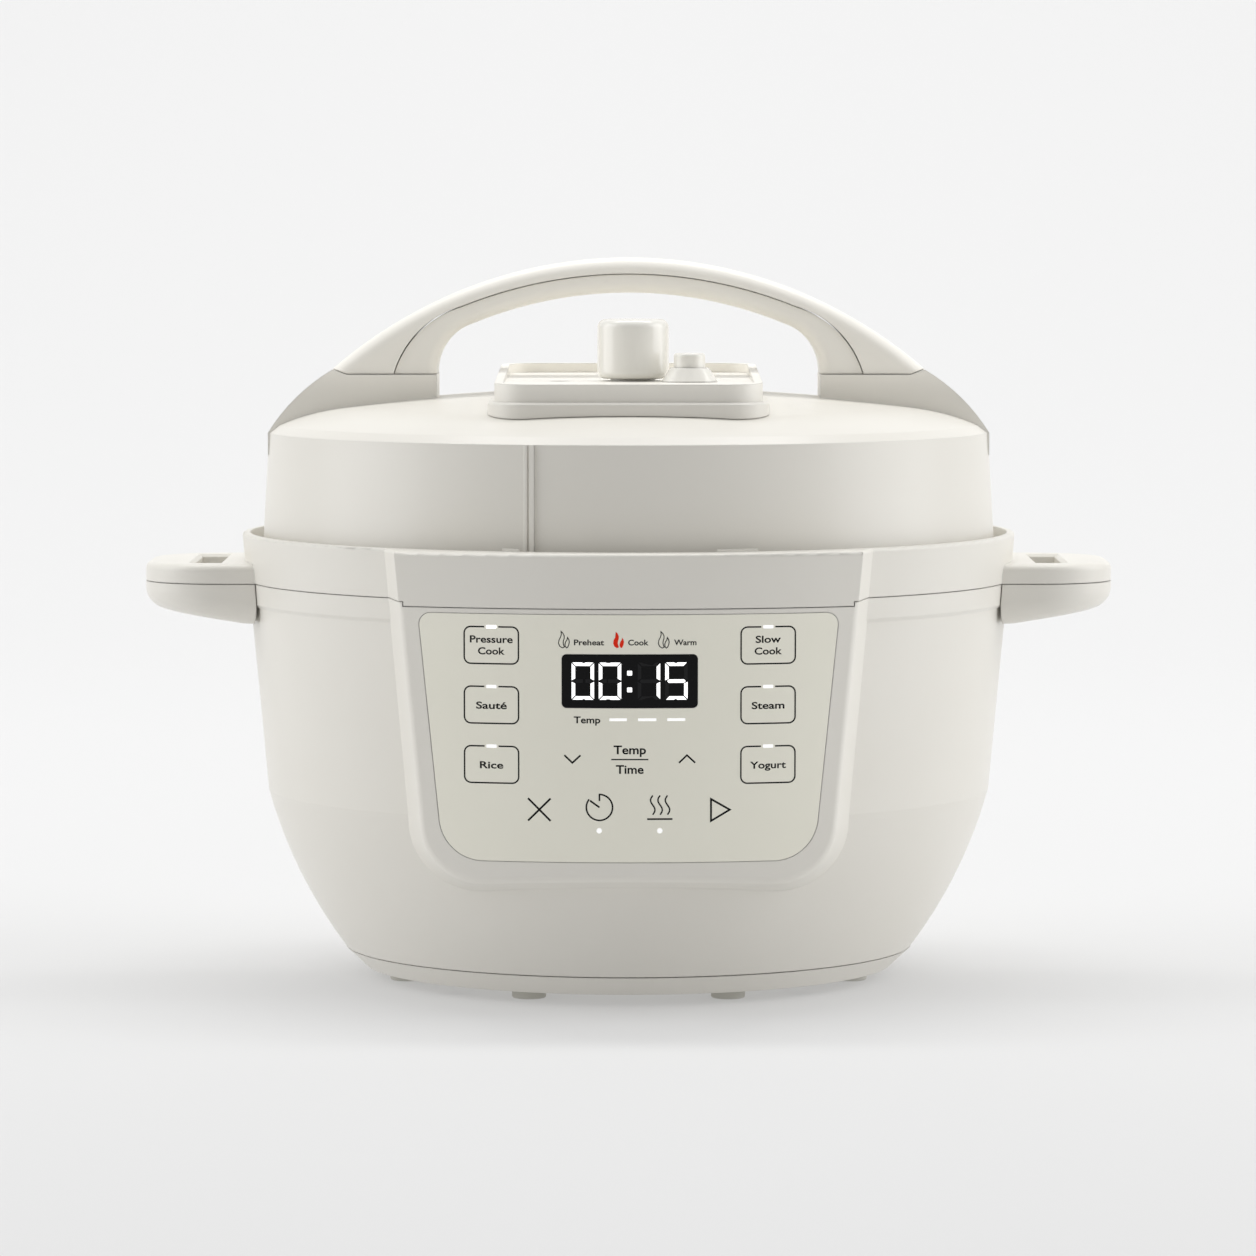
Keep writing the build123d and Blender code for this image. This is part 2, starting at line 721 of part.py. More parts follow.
def make_inner_pot():
    r = pot_bore_r
    out = pot_outer_r
    base = pot_base_z
    inner_round = pot_bottom_round - pot_wall
    floor_z = base + pot_floor
    lip_r = out + pot_lip_w
    outline = xz_face(
        Line((0, base), (out - pot_bottom_round, base)),
        RadiusArc((out - pot_bottom_round, base), (out, base + pot_bottom_round), pot_bottom_round),
        Line((out, base + pot_bottom_round), (out, pot_rim_z - pot_wall)),
        Line((out, pot_rim_z - pot_wall), (lip_r, pot_rim_z - pot_wall)),
        Line((lip_r, pot_rim_z - pot_wall), (lip_r, pot_rim_z)),
        Line((lip_r, pot_rim_z), (r, pot_rim_z)),
        Line((r, pot_rim_z), (r, floor_z + inner_round)),
        RadiusArc((r, floor_z + inner_round), (r - inner_round, floor_z), -inner_round),
        Line((r - inner_round, floor_z), (0, floor_z)),
        Line((0, floor_z), (0, base)),
    )
    return turned(outline)


# ---------------------------------------------------------------- heat and sensing

def make_heating_plate():
    plate = rod(plate_r, plate_z, pot_base_z)
    plate = fillet(plate.edges().sort_by(Axis.Z)[-1], 1.5)
    plate -= rod(sensor_r + 1.2, plate_z - 1, pot_base_z + 1)
    groove = tube(element_r + element_wire_r + 0.3, element_r - element_wire_r - 0.3,
                  plate_z - 1, plate_z + 2 * element_wire_r)
    plate -= groove
    for angle in plate_bolt_angles:
        x, y = polar(plate_bolt_r, angle)
        plate += rod(5.0, liner_floor_z + liner_wall, plate_z + 0.5, x, y)
        plate -= rod(1.9, liner_floor_z, plate_z + 5, x, y)
    return plate


def make_heating_element():
    """The sheathed heater in the plate's groove: most of a turn, with two legs pointing down."""
    z = plate_z + element_wire_r - 0.6
    gap_deg = 26.0
    start = polar(element_r, gap_deg / 2 - 90)
    end = polar(element_r, 270 - gap_deg / 2)
    far = polar(element_r, 90)
    arc = ThreePointArc((*start, z), (*far, z), (*end, z))
    ring = sweep(Plane(origin=arc @ 0, z_dir=arc % 0) * Circle(element_wire_r), arc)
    for x, y in (start, end):
        ring += rod(element_wire_r, plate_z - 9, z + element_wire_r * 0.7, x, y)
        ring += rod(1.3, plate_z - 16, plate_z - 8, x, y)
    return ring


def make_collar_screws():
    screws = []
    for angle in collar_screw_angles:
        x, y = polar(collar_screw_r, angle)
        screws.append(screw(x, y, trough_z - trough_floor - 19.3, 16.5))
    return Compound(children=screws)


def make_plate_bolts():
    bolts = []
    for angle in plate_bolt_angles:
        x, y = polar(plate_bolt_r, angle)
        seat_z = strap_z if angle % 180 == 0 else liner_floor_z
        bolt = rod(1.8, seat_z - 0.2, plate_z + 4.5, x, y)
        bolt += extrude(Pos(x, y, seat_z - 3.0) * RegularPolygon(3.6, 6), 3.0)
        bolts.append(bolt)
    return Compound(children=bolts)


def make_sensor_strap():
    """The spring-steel strap under the liner that carries the sensor and the pressure switch."""
    strap = block((-strap_half_l, strap_half_l), (-9, 9), (strap_z, strap_z + strap_thick - 0.1))
    strap += block((-14, 14), (-14, 14), (strap_z, strap_z + strap_thick - 0.1))
    strap -= rod(sensor_stem_r + pin_gap, strap_z - 1, strap_z + 4)
    for side in (-1, 1):
        strap -= rod(2.2, strap_z - 1, strap_z + 4, side * plate_bolt_r, 0)
    strap -= block((switch_x - 3, switch_x + 3), (-3, 3), (strap_z - 1, strap_z + 4))
    return strap


def make_sensor_cup():
    cup = rod(sensor_r, pot_base_z - 5.5, pot_base_z)
    cup = fillet(cup.edges().sort_by(Axis.Z)[-1], 1.0)
    cup -= rod(sensor_r - 1.2, pot_base_z - 6, pot_base_z - 1.5)
    cup += rod(sensor_stem_r, strap_z - 5, pot_base_z - 1)
    cup -= rod(sensor_stem_r - 2.2, strap_z - 6, pot_base_z - 4)
    return cup


def make_sensor_spring():
    return coil(sensor_stem_r + 2.2, 0.55, strap_z + strap_thick, pot_base_z - 1.6, 5)


def make_pressure_switch():
    body = block((switch_x - 14, switch_x + 14), (-5, 5), (strap_z - 12.2, strap_z - 0.2))
    body = fillet(body.edges().filter_by(Axis.Z), 1.0)
    body += block((switch_x - 2, switch_x + 2), (-2, 2), (strap_z - 1, strap_z + strap_thick + 0.6))
    for dx in (-8, 0, 8):
        body += block((switch_x + dx - 0.4, switch_x + dx + 0.4), (-1.6, 1.6), (strap_z - 17, strap_z - 12))
    return body


def make_thermal_fuse():
    z = plate_z - 2.35
    fuse = Pos(-2, 46, z) * Rot(0, 90, 0) * Cylinder(2.3, 20)
    fuse += Pos(-2, 46, z) * Rot(0, 90, 0) * Cylinder(0.6, 36)
    return fuse


# ---------------------------------------------------------------- electrics

def power_board_posts():
    x_low, x_high, y_low, y_high = power_board_limits
    return [(x, y) for x in (x_low + 4.5, x_high - 4.5) for y in (y_low + 4.5, y_high - 4.5)]


def make_power_board():
    x_low, x_high, y_low, y_high = power_board_limits
    board = block((x_low, x_high), (y_low, y_high), (power_board_z, power_board_z + board_thick))
    for x, y in power_board_posts():
        board -= rod(1.4, 0, 40, x, y)
    return board


def make_power_parts():
    """Relay, transformer, capacitor, terminal block and connector on the power board."""
    z = power_board_z + board_thick
    x_low, x_high, y_low, y_high = power_board_limits
    relay = block((x_low + 10, x_low + 38), (y_low + 4, y_low + 16), (z, z + 15))
    transformer = block((x_low + 12, x_low + 34), (y_low + 30, y_low + 48), (z + 2, z + 15))
    transformer += block((x_low + 9, x_low + 37), (y_low + 33, y_low + 45), (z, z + 11))
    capacitor = rod(6.5, z, z + 16, x_high - 9, y_low + 32)
    terminals = block((x_low + 12, x_high - 12), (y_high - 12, y_high - 2), (z, z + terminal_h))
    plug = block((x_high - 16, x_high - 10), (y_low, y_low + 9), (z, z + terminal_h))
    return Compound(children=[relay, transformer, capacitor, terminals, plug])


def make_board_screws():
    screws = []
    for x, y in power_board_posts():
        pin = rod(0.9, floor_top_z + 0.6, power_board_z + board_thick, x, y)
        screws.append(pin + rod(2.2, power_board_z + board_thick, power_board_z + board_thick + 1.4, x, y))
    for x, z in control_board_posts():
        y = -control_board_y
        pin = Pos(x, y - 1.0, z) * Rot(90, 0, 0) * Cylinder(0.9, 7.0)
        head = Pos(x, y + board_thick + 0.7, z) * Rot(90, 0, 0) * Cylinder(2.2, 1.4)
        screws.append(pin + head)
    return Compound(children=screws)


def control_board_posts():
    low_z, high_z = control_board_heights()
    return [(x, z) for x in (-control_board_half_w + 6, control_board_half_w - 6)
            for z in (low_z + 2.5, high_z - 2.5)]


def control_board_heights():
    return touch_row_z - 9.0, key_row_z[0] + 9.0


def make_control_board():
    low_z, high_z = control_board_heights()
    y = -control_board_y
    board = block((-control_board_half_w, control_board_half_w), (y, y + board_thick), (low_z, high_z))
    for x, z in control_board_posts():
        board -= Pos(x, y, z) * Rot(90, 0, 0) * Cylinder(1.2, 10)
    return board


def make_board_frame():
    """The plastic frame that holds the control board against the posts of the pod."""
    low_z, high_z = control_board_heights()
    half_w = control_board_half_w
    y = -control_board_y
    frame = block((-half_w, half_w), (y - 2.5, y - 0.05), (low_z, high_z))
    frame -= block((-half_w + 4.5, half_w - 4.5), (y - 3, y), (low_z + 5, high_z - 5))
    for x, z in control_board_posts():
        frame -= Pos(x, y, z) * Rot(90, 0, 0) * Cylinder(1.2, 12)
    return frame


def make_display_module():
    y = -control_board_y
    half_w = window_w / 2 - 1.0
    half_h = window_h / 2 - 1.0
    front = -pod_front + 5.4
    return block((window_x - half_w, window_x + half_w), (front, y - 0.1),
                 (window_z - half_h, window_z + half_h))


def make_display_window():
    """The dark lens that fills the panel's window."""
    outline = Pos(window_x, window_z) * RectangleRounded(window_w - 0.2, window_h - 0.2, window_corner_r)
    slab = extrude(Plane.XZ.offset(pod_front - 30) * outline, 40)
    return slab & (pod_front_form(0, 0, 200) - pod_front_form(panel_thick, 0, 200))


def make_fascia_panel():
    panel = panel_form()
    outline = Pos(window_x, window_z) * RectangleRounded(window_w, window_h, window_corner_r + 0.1)
    panel -= extrude(Plane.XZ.offset(pod_front - 30) * outline, 40)
    return panel


def make_touch_springs():
    """Small contact springs between the control board and the inside of the pod."""
    places = [(x, z) for x in (-key_column_x, key_column_x) for z in key_row_z]
    places += [(x, touch_row_z) for x in touch_row_x]
    places += [(x, arrow_row_z) for x in arrow_x]
    springs = []
    y_back = -control_board_y - 0.1
    for x, z in places:
        inner_r = pod_plan_r - shell_wall - nest_gap
        front = math.sqrt(inner_r ** 2 - (abs(x) + 3.0) ** 2) - pod_plan_r + pod_front
        lean = pod_lean * (seam_z - z + 3.0) / (seam_z - pod_bottom_z)
        y_front = -(front - lean)
        length = y_back - y_front
        shape = Cylinder(3.0, length) - Cylinder(2.2, length + 1)
        springs.append(Pos(x, (y_back + y_front) / 2, z) * Rot(90, 0, 0) * shape)
    return Compound(children=springs)


def make_ribbon_cable():
    """The flat cable from the control board to the power board, in straight folds."""
    t = ribbon_t
    x = (ribbon_x - ribbon_w / 2, ribbon_x + ribbon_w / 2)
    back_y = -control_board_y + board_thick + 0.8
    drop_y = -(liner_r + 4.0)
    shelf_z = pod_bottom_z + 11
    low_z = strap_z - 1.6
    x_low, x_high, y_low, y_high = power_board_limits
    plug_x = x_high - 13
    plug_z = power_board_z + board_thick + terminal_h
    cable = block(x, (back_y, back_y + t), (shelf_z, touch_row_z + 9))
    cable += block(x, (back_y, drop_y + t), (shelf_z - t, shelf_z))
    cable += block(x, (drop_y, drop_y + t), (low_z, shelf_z))
    cable += block(x, (drop_y, y_low + ribbon_w), (low_z, low_z + t))
    cable += block((plug_x, x[1]), (y_low, y_low + ribbon_w), (low_z, low_z + t))
    cable += block((plug_x, plug_x + t), (y_low, y_low + ribbon_w), (plug_z, low_z + t))
    return cable


def make_mains_inlet():
    body = block((-inlet_half_w, inlet_half_w), (inlet_back_y, inlet_face_y), (inlet_low_z, inlet_top_z))
    middle_z = (inlet_low_z + inlet_top_z) / 2
    recess = Pos(0, middle_z) * RectangleRounded(24.0, 16.2, 2.5)
    body -= extrude(Plane.XZ.offset(-inlet_face_y - 1) * recess, inlet_recess + 1)
    for x, z in inlet_pin_places():
        body -= block((x - 2.05, x + 2.05), (inlet_back_y - 5, inlet_face_y), (z - 1.05, z + 1.05))
    return body


def inlet_pin_places():
    middle_z = (inlet_low_z + inlet_top_z) / 2
    return [(-7.0, middle_z - 2.0), (0.0, middle_z + 2.0), (7.0, middle_z - 2.0)]


def make_inlet_pins():
    pins = []
    for x, z in inlet_pin_places():
        y_low = inlet_back_y - 4.0
        y_high = inlet_face_y - inlet_pin_inset
        pins.append(block((x - 2.0, x + 2.0), (y_low, y_high), (z - 1.0, z + 1.0)))
    return Compound(children=pins)


def make_mains_leads():
    """Three insulated leads from the inlet's tags to the terminal block."""
    x_low, x_high, y_low, y_high = power_board_limits
    end_z = power_board_z + board_thick + terminal_h
    leads = []
    for count, (x, z) in enumerate(inlet_pin_places()):
        y_turn = y_high - 4 - 3.2 * count
        x_end = x_high - 18 - 10 * count
        path = FilletPolyline((x, inlet_back_y - 4.1, z), (x, y_turn, z), (x_end, y_turn, z),
                              (x_end, y_turn, end_z), radius=2.2)
        leads.append(sweep(Plane(origin=path @ 0, z_dir=path % 0) * Circle(lead_r), path))
    return Compound(children=leads)


def make_condensation_cup():
    """The shallow cup that hangs on the back and catches drops from the trough."""
    low = cup_low_z
    high = cup_top_z
    back = cup_back_y
    outline = Pos(0, (low + high) / 2) * RectangleRounded(2 * cup_half_w, high - low, 7.0)
    solid = extrude(Plane.XZ.offset(-back) * outline, 30)
    rear = [e for e in solid.edges() if e.center().Y > back - 0.01]
    solid = fillet(rear, 3.0)
    near_r = neck_r + cup_gap
    solid -= rod(near_r, 0, through_all)
    mouth = RectangleRounded(2 * (cup_half_w - cup_wall), high - low - cup_wall + 6, 5.5)
    cavity_face = Pos(0, (low + high) / 2 + 6) * mouth
    cavity = extrude(Plane.XZ.offset(-(back - cup_wall)) * cavity_face, 30) - rod(near_r + cup_wall, 0, through_all)
    solid = keep_largest(solid - cavity)
    for x in (-cup_tongue_x, cup_tongue_x):
        half = cup_tongue_w / 2
        tongue = block((x - half, x + half), (body_r - 9, body_r + 3),
                       (cup_tongue_z, cup_tongue_z + cup_tongue_t))
        solid += tongue - cavity
    return keep_largest(solid)


# ---------------------------------------------------------------- lid

def lid_dome(inset=0.0, lift=0.0):
    """The lid cover's outer form as a solid down to its foot, drawn in by inset."""
    top = lid_edge_z + shoulder_h + dome_rise + lift - inset
    edge = lid_edge_z + shoulder_h + lift - inset
    foot = lid_foot_r - inset
    knee = (dome_knee_r, top - dome_knee_drop)
    half_way = (dome_knee_r / 2, top - sag(dome_knee_r / 2, dome_knee_r, dome_knee_drop))
    crown = ThreePointArc(knee, half_way, (0, top))
    slope = crown % 0
    fall = TangentArc(knee, (lid_r - shoulder_w - inset, edge), tangent=(-slope.X, -slope.Y))
    return turned(xz_face(
        Line((0, lid_low_z - 1), (foot, lid_low_z - 1)),
        Line((foot, lid_low_z - 1), (lid_r - inset, lid_edge_z + lift - inset)),
        Line((lid_r - inset, lid_edge_z + lift - inset), (lid_r - shoulder_w - inset, edge)),
        fall,
        crown,
        Line((0, top), (0, lid_low_z - 1)),
    ))


def arch_face(outer):
    """Side view of the whole carrying arch, or of the piece of it inside the inner seam."""
    top_z = lid_edge_z + arch_top_rise
    foot_z = lid_edge_z + arch_foot_rise
    joint_z = lid_edge_z + joint_rise
    inner_top = lid_edge_z + arch_inner_top_rise
    inner_knee = lid_edge_z + arch_inner_knee_rise
    seam_top = lid_edge_z + seam_top_rise
    seam_knee = lid_edge_z + seam_knee_rise
    x_in = arch_inner_x
    knee = arch_inner_knee_x
    # the seam between the two halves: flat over the middle, then down on each side
    bend_x = seam_knee_x + (seam_x - seam_knee_x) * 0.68
    bend_z = joint_z + (seam_knee - joint_z) * 0.57
    gap = seam_gap
    if outer:
        return xz_face(
            ThreePointArc((-arch_foot_x, foot_z), (0, top_z), (arch_foot_x, foot_z)),
            Line((arch_foot_x, foot_z), (arch_foot_x - 5, joint_z)),
            Line((arch_foot_x - 5, joint_z), (seam_x + gap, joint_z)),
            ThreePointArc((seam_x + gap, joint_z), (bend_x + gap, bend_z + gap), (seam_knee_x, seam_knee + gap)),
            ThreePointArc((seam_knee_x, seam_knee + gap), (0, seam_top + gap), (-seam_knee_x, seam_knee + gap)),
            ThreePointArc((-seam_knee_x, seam_knee + gap), (-bend_x - gap, bend_z + gap), (-seam_x - gap, joint_z)),
            Line((-seam_x - gap, joint_z), (-arch_foot_x + 5, joint_z)),
            Line((-arch_foot_x + 5, joint_z), (-arch_foot_x, foot_z)),
        )
    corner = (knee + (x_in - knee) * 0.72, joint_z + (inner_knee - joint_z) * 0.62)
    return xz_face(
        ThreePointArc((-seam_knee_x, seam_knee), (0, seam_top), (seam_knee_x, seam_knee)),
        ThreePointArc((seam_knee_x, seam_knee), (bend_x, bend_z), (seam_x, joint_z)),
        Line((seam_x, joint_z), (x_in, joint_z)),
        ThreePointArc((x_in, joint_z), corner, (knee, inner_knee)),
        ThreePointArc((knee, inner_knee), (0, inner_top), (-knee, inner_knee)),
        ThreePointArc((-knee, inner_knee), (-corner[0], corner[1]), (-x_in, joint_z)),
        Line((-x_in, joint_z), (-seam_x, joint_z)),
        ThreePointArc((-seam_x, joint_z), (-bend_x, bend_z), (-seam_knee_x, seam_knee)),
    )


def make_arch_cover():
    """The upper half of the carrying handle."""
    shell = extrude(arch_face(True), arch_half_depth, both=True)
    outer_edges = [e for e in shell.edges() if abs(abs(e.center().Y) - arch_half_depth) < 0.01
                   and e.center().Z > lid_edge_z + arch_top_rise - 1]
    shell = fillet(outer_edges, arch_round)
    for x, y in arch_screw_places():
        if x in (-arch_screw_x[1], arch_screw_x[1]):
            shell -= rod(screw_r + screw_gap, 0, lid_edge_z + joint_rise + 9, x, y)
    return shell


def make_arch_grip():
    """The lower half of the carrying handle, where the fingers close."""
    grip = extrude(arch_face(False), arch_half_depth - 0.6, both=True)
    inner_edges = [e for e in grip.edges() if abs(abs(e.center().Y) - arch_half_depth + 0.6) < 0.01
                   and e.center().Z < lid_edge_z + arch_inner_top_rise + 1 and e.length > 90]
    grip = fillet(inner_edges, grip_round)
    for x, y in arch_screw_places():
        if x in (-arch_screw_x[0], arch_screw_x[0]):
            grip -= rod(screw_r + screw_gap, 0, lid_edge_z + joint_rise + 9, x, y)
    return grip


def arch_screw_places():
    return [(side * x, y) for side in (-1, 1) for x in arch_screw_x for y in (-arch_screw_y, arch_screw_y)]


def pylon_face(inset=0.0):
    joint_z = lid_edge_z + joint_rise - seam_gap
    foot_z = lid_edge_z + arch_foot_rise - seam_gap
    top = joint_z - inset
    return xz_face(
        Line((arch_inner_x + inset, lid_edge_z - 8), (arch_inner_x + inset, top)),
        Line((arch_inner_x + inset, top), (arch_foot_x - 5, top)),
        Line((arch_foot_x - 5, top), (arch_foot_x - inset * 0.5, foot_z - inset)),
        ThreePointArc((arch_foot_x - inset * 0.5, foot_z - inset),
                      ((arch_foot_x + lid_r) / 2 + 1.5 - inset, (foot_z + lid_edge_z) / 2 + 1.2 - inset),
                      (lid_r - 0.2 - inset, lid_edge_z)),
        Line((lid_r - 0.2 - inset, lid_edge_z), (lid_r - 0.2 - inset, lid_edge_z - 8)),
        Line((lid_r - 0.2 - inset, lid_edge_z - 8), (arch_inner_x + inset, lid_edge_z - 8)),
    )


def make_lid_cover():
    """The plastic outer lid with its wall, dome and the two pylons that carry the arch."""
    outer = lid_dome()
    pylons = []
    hollows = []
    for side in (-1, 1):
        solid = extrude(pylon_face(), pylon_half_depth, both=True)
        hollow = extrude(pylon_face(lid_shell), pylon_half_depth - lid_shell, both=True)
        if side < 0:
            solid = Rot(0, 0, 180) * solid
            hollow = Rot(0, 0, 180) * hollow
        pylons.append(solid)
        hollows.append(hollow)
    for solid in pylons:
        outer += solid & lid_dome(0, 40)
    inner = lid_dome(lid_shell)
    for hollow in hollows:
        inner += hollow
    cover = outer - inner
    cover -= block((-through_all, through_all), (-through_all, through_all), (0, lid_low_z))
    # mark on the wall that lines up with the marks on the rim
    mark_x = lid_mark_x
    for x_low, x_high, proud in ((mark_x - 2.2, mark_x - 1.0, 0.35), (mark_x - 0.4, mark_x + 1.4, 0.9)):
        rib = block((x_low, x_high), (-lid_foot_r - 5, -lid_r + 8), (collar_top_z - 5, lid_edge_z))
        wall = turned(xz_polygon((0, lid_low_z), (lid_foot_r + proud, lid_low_z),
                                 (lid_r + proud, lid_edge_z), (0, lid_edge_z)))
        cover += rib & (wall - lid_dome(0.5))
    # opening under the valve deck
    x_half = deck_half_w - deck_wall - 3
    cover -= block((-x_half, x_half), (-deck_front + deck_wall + 5, deck_back - deck_wall - 5),
                   (lid_edge_z - 5, through_all))
    for x, y in arch_screw_places():
        cover -= rod(screw_r + 0.3, lid_edge_z, lid_edge_z + joint_rise + 5, x, y)
    # bosses that the steel lid is screwed to
    for angle in lid_screw_angles:
        x, y = polar(lid_screw_r, angle)
        boss_low = steel_lid_z(lid_screw_r - boss_r) + 0.1
        boss = rod(boss_r, boss_low, lid_edge_z + 14, x, y) & lid_dome(lid_shell - 0.5)
        cover += boss - rod(screw_r + screw_gap, 0, steel_lid_z(lid_screw_r) + 12, x, y)
    return keep_largest(cover)


def steel_lid_z(radius):
    """Top of the pressed steel lid at a distance from the axis."""
    if radius >= steel_flat_r:
        return steel_flat_z
    return steel_flat_z + steel_rise - sag(radius, steel_flat_r, steel_rise)


def make_pressure_lid():
    """The pressed steel lid with its locking skirt."""
    t = steel_thick
    mid_r = steel_flat_r * 0.5
    top = steel_flat_z + steel_rise
    outline = xz_face(
        ThreePointArc((0, top), (mid_r, steel_lid_z(mid_r)), (steel_flat_r, steel_flat_z)),
        Line((steel_flat_r, steel_flat_z), (skirt_r - 2, steel_flat_z)),
        Line((skirt_r - 2, steel_flat_z), (skirt_r, steel_flat_z - 2)),
        Line((skirt_r, steel_flat_z - 2), (skirt_r, skirt_low_z)),
        Line((skirt_r, skirt_low_z), (skirt_bore_r, skirt_low_z)),
        Line((skirt_bore_r, skirt_low_z), (skirt_bore_r, steel_flat_z - t - 1)),
        Line((skirt_bore_r, steel_flat_z - t - 1), (skirt_bore_r - 1, steel_flat_z - t)),
        Line((skirt_bore_r - 1, steel_flat_z - t), (steel_flat_r, steel_flat_z - t)),
        ThreePointArc((steel_flat_r, steel_flat_z - t), (mid_r, steel_lid_z(mid_r) - t), (0, top - t)),
        Line((0, top - t), (0, top)),
    )
    lid = turned(outline)
    lug_top = rim_z - lug_play
    for index in range(lug_count):
        lid += lug(rim_r + 1.5, skirt_bore_r + 0.5, lug_top - lug_thick, lug_top, index * 360 / lug_count)
    lid -= rod(pipe_r + 0.1, 0, through_all, knob_x, knob_y)
    lid -= rod(float_r + 0.5, 0, through_all, float_x, float_y)
    for angle in lid_screw_angles:
        x, y = polar(lid_screw_r, angle)
        lid -= rod(screw_r + 0.3, 0, through_all, x, y)
    return lid


def make_lid_screws():
    screws = []
    for angle in lid_screw_angles:
        x, y = polar(lid_screw_r, angle)
        screws.append(screw(x, y, steel_lid_z(lid_screw_r) - steel_thick - 1.2, 11.5))
    return Compound(children=screws)


def make_arch_screws():
    screws = []
    for x, y in arch_screw_places():
        screws.append(screw(x, y, lid_edge_z + joint_rise - seam_gap - lid_shell - 0.1, 11.0))
    return Compound(children=screws)


def make_sealing_ring():
    """The silicone ring between the pot's lip and the steel lid."""
    inner = pot_bore_r + 2.5
    outer = rim_r - 2.5
    groove_z = pot_rim_z + 5
    ring = tube(outer, inner, pot_rim_z, steel_flat_z - steel_thick - 0.6)
    ring -= tube(outer + 1, outer - 3.0, groove_z, groove_z + 2.4)
    ring -= tube(inner + 3.4, inner - 1, pot_rim_z + 2.4, groove_z + 4)
    ring = fillet([e for e in ring.edges() if e.center().Z < pot_rim_z + 0.01], 0.8)
    return ring


def make_ring_rack():
    """The steel rack on the lid that the sealing ring hooks over."""
    outer = rim_r - 2.5
    groove_z = pot_rim_z + 5
    rack = tube(outer + 2.2, outer - 2.4, groove_z + 0.4, groove_z + 2.0)
    rack += tube(outer + 2.2, outer + 0.8, groove_z + 0.4, steel_flat_z - steel_thick)
    window = block((outer - 1, outer + 4), (-9, 9), (groove_z + 3.5, steel_flat_z - steel_thick - 1.2))
    for index in range(12):
        rack -= Rot(0, 0, index * 30) * window
    return rack


def deck_outline(grow, corner):
    width = 2 * (deck_half_w + grow)
    length = deck_front + deck_back + 2 * grow
    return Pos(0, (deck_back - deck_front) / 2) * RectangleRounded(width, length, corner + grow)


def make_valve_deck():
    """The raised deck on the lid that carries the steam release, the button and the float."""
    low = lid_edge_z - 2
    ledge_z = deck_z - deck_ledge_drop
    deck = extrude(Pos(0, 0, low) * deck_outline(deck_ledge_w, deck_corner_r), ledge_z - low)
    deck = chamfer([e for e in deck.edges() if e.center().Z > ledge_z - 0.01], 0.8)
    upper = extrude(Pos(0, 0, ledge_z - 1) * deck_outline(0, deck_corner_r),
                    deck_z + deck_rim_rise + 1 - ledge_z)
    # the rim starts level with the floor at the front and rises towards the back
    slope = deck_rim_rise / (deck_front + deck_back)
    back_rise = (deck_front + deck_back + 20) * slope
    wedge = make_face(Polyline((-deck_front - 20, deck_z - 20 * slope), (deck_back + 20, deck_z + back_rise),
                               (deck_back + 20, deck_z + 60), (-deck_front - 20, deck_z + 60), close=True))
    upper -= extrude(Plane.YZ * wedge, 80, both=True)
    deck += upper
    floor = extrude(Pos(0, 0, deck_z) * deck_outline(-deck_rim_w, deck_corner_r), 30)
    deck -= floor
    room = extrude(Pos(0, 0, low - 1) * deck_outline(-deck_wall, deck_corner_r), deck_z - deck_wall - low + 1)
    deck -= room
    deck -= lid_dome(0, deck_gap)
    # spigot that drops into the opening of the cover
    x_half = deck_half_w - deck_wall - 3.4
    spigot = block((-x_half, x_half), (-deck_front + deck_wall + 5.4, deck_back - deck_wall - 5.4),
                   (lid_edge_z + 8, deck_z - 1))
    spigot -= block((-x_half + 1.8, x_half - 1.8),
                    (-deck_front + deck_wall + 7.2, deck_back - deck_wall - 7.2), (0, deck_z - deck_wall))
    deck += spigot
    # openings for the pipe, the button and the float
    deck -= rod(sleeve_r + 0.7, 0, through_all, knob_x, knob_y)
    deck -= rod(socket_r + 0.2, 0, through_all, button_x, button_y)
    deck -= rod(float_r + 0.6, 0, through_all, float_x, float_y)
    deck += tube(float_r + 2.4, float_r + 0.6, deck_z - 10, deck_z - deck_wall + 0.5, float_x, float_y)
    # ears for the lever's pin
    for end in (-1, 1):
        ear = Pos(0, end * lever_ear_y, 0) * Box(6.4, 2.0, 30)
        ear = lever_frame() * Pos(0, 0, 13.0) * ear
        deck += ear & block((-100, 100), (-200, 100), (lever_z - 3.2, deck_z - deck_wall + 0.5))
    deck -= lever_frame() * Rot(90, 0, 0) * Cylinder(lever_pin_r, 2 * lever_ear_y + 1.9)
    return keep_largest(deck)


def lever_frame():
    """At the lever's pin, with X along the lever towards the knob and Y along the pin."""
    run_x = knob_x - button_x
    run_y = knob_y - button_y
    length = math.hypot(run_x, run_y)
    x = button_x + run_x * lever_arm / length
    y = button_y + run_y * lever_arm / length
    return Pos(x, y, lever_z) * Rot(0, 0, math.degrees(math.atan2(run_y, run_x)))


def make_release_lever():
    """The rocker that lifts the steam knob when the button goes down."""
    span = math.hypot(knob_x - button_x, knob_y - button_y)
    reach = span - lever_arm
    nose_z = lever_nose_lift
    fork_y = (sleeve_r + pipe_r) / 2 + 0.4
    body = Rot(90, 0, 0) * Cylinder(2.6, 12.0)
    body += Pos(-lever_arm / 2, 0, nose_z) * Box(lever_arm, 6.0, 2.2)
    body += Pos(-lever_arm, 0, nose_z) * Rot(90, 0, 0) * Cylinder(lever_nose_r, 6.0)
    body += Pos(1.0, 0, nose_z) * Box(2.8, 2 * fork_y + 2.4, 2.2)
    for side in (-1, 1):
        body += Pos(reach / 2, side * fork_y, nose_z) * Box(reach, 2.4, 2.2)
        body += Pos(reach, side * fork_y, nose_z) * Rot(90, 0, 0) * Cylinder(lever_nose_r, 2.4)
    body -= Rot(90, 0, 0) * Cylinder(lever_pin_r + pin_gap, 30)
    return lever_frame() * body


def make_lever_pin():
    return lever_frame() * Rot(90, 0, 0) * Cylinder(lever_pin_r, 2 * lever_ear_y + 1.8)


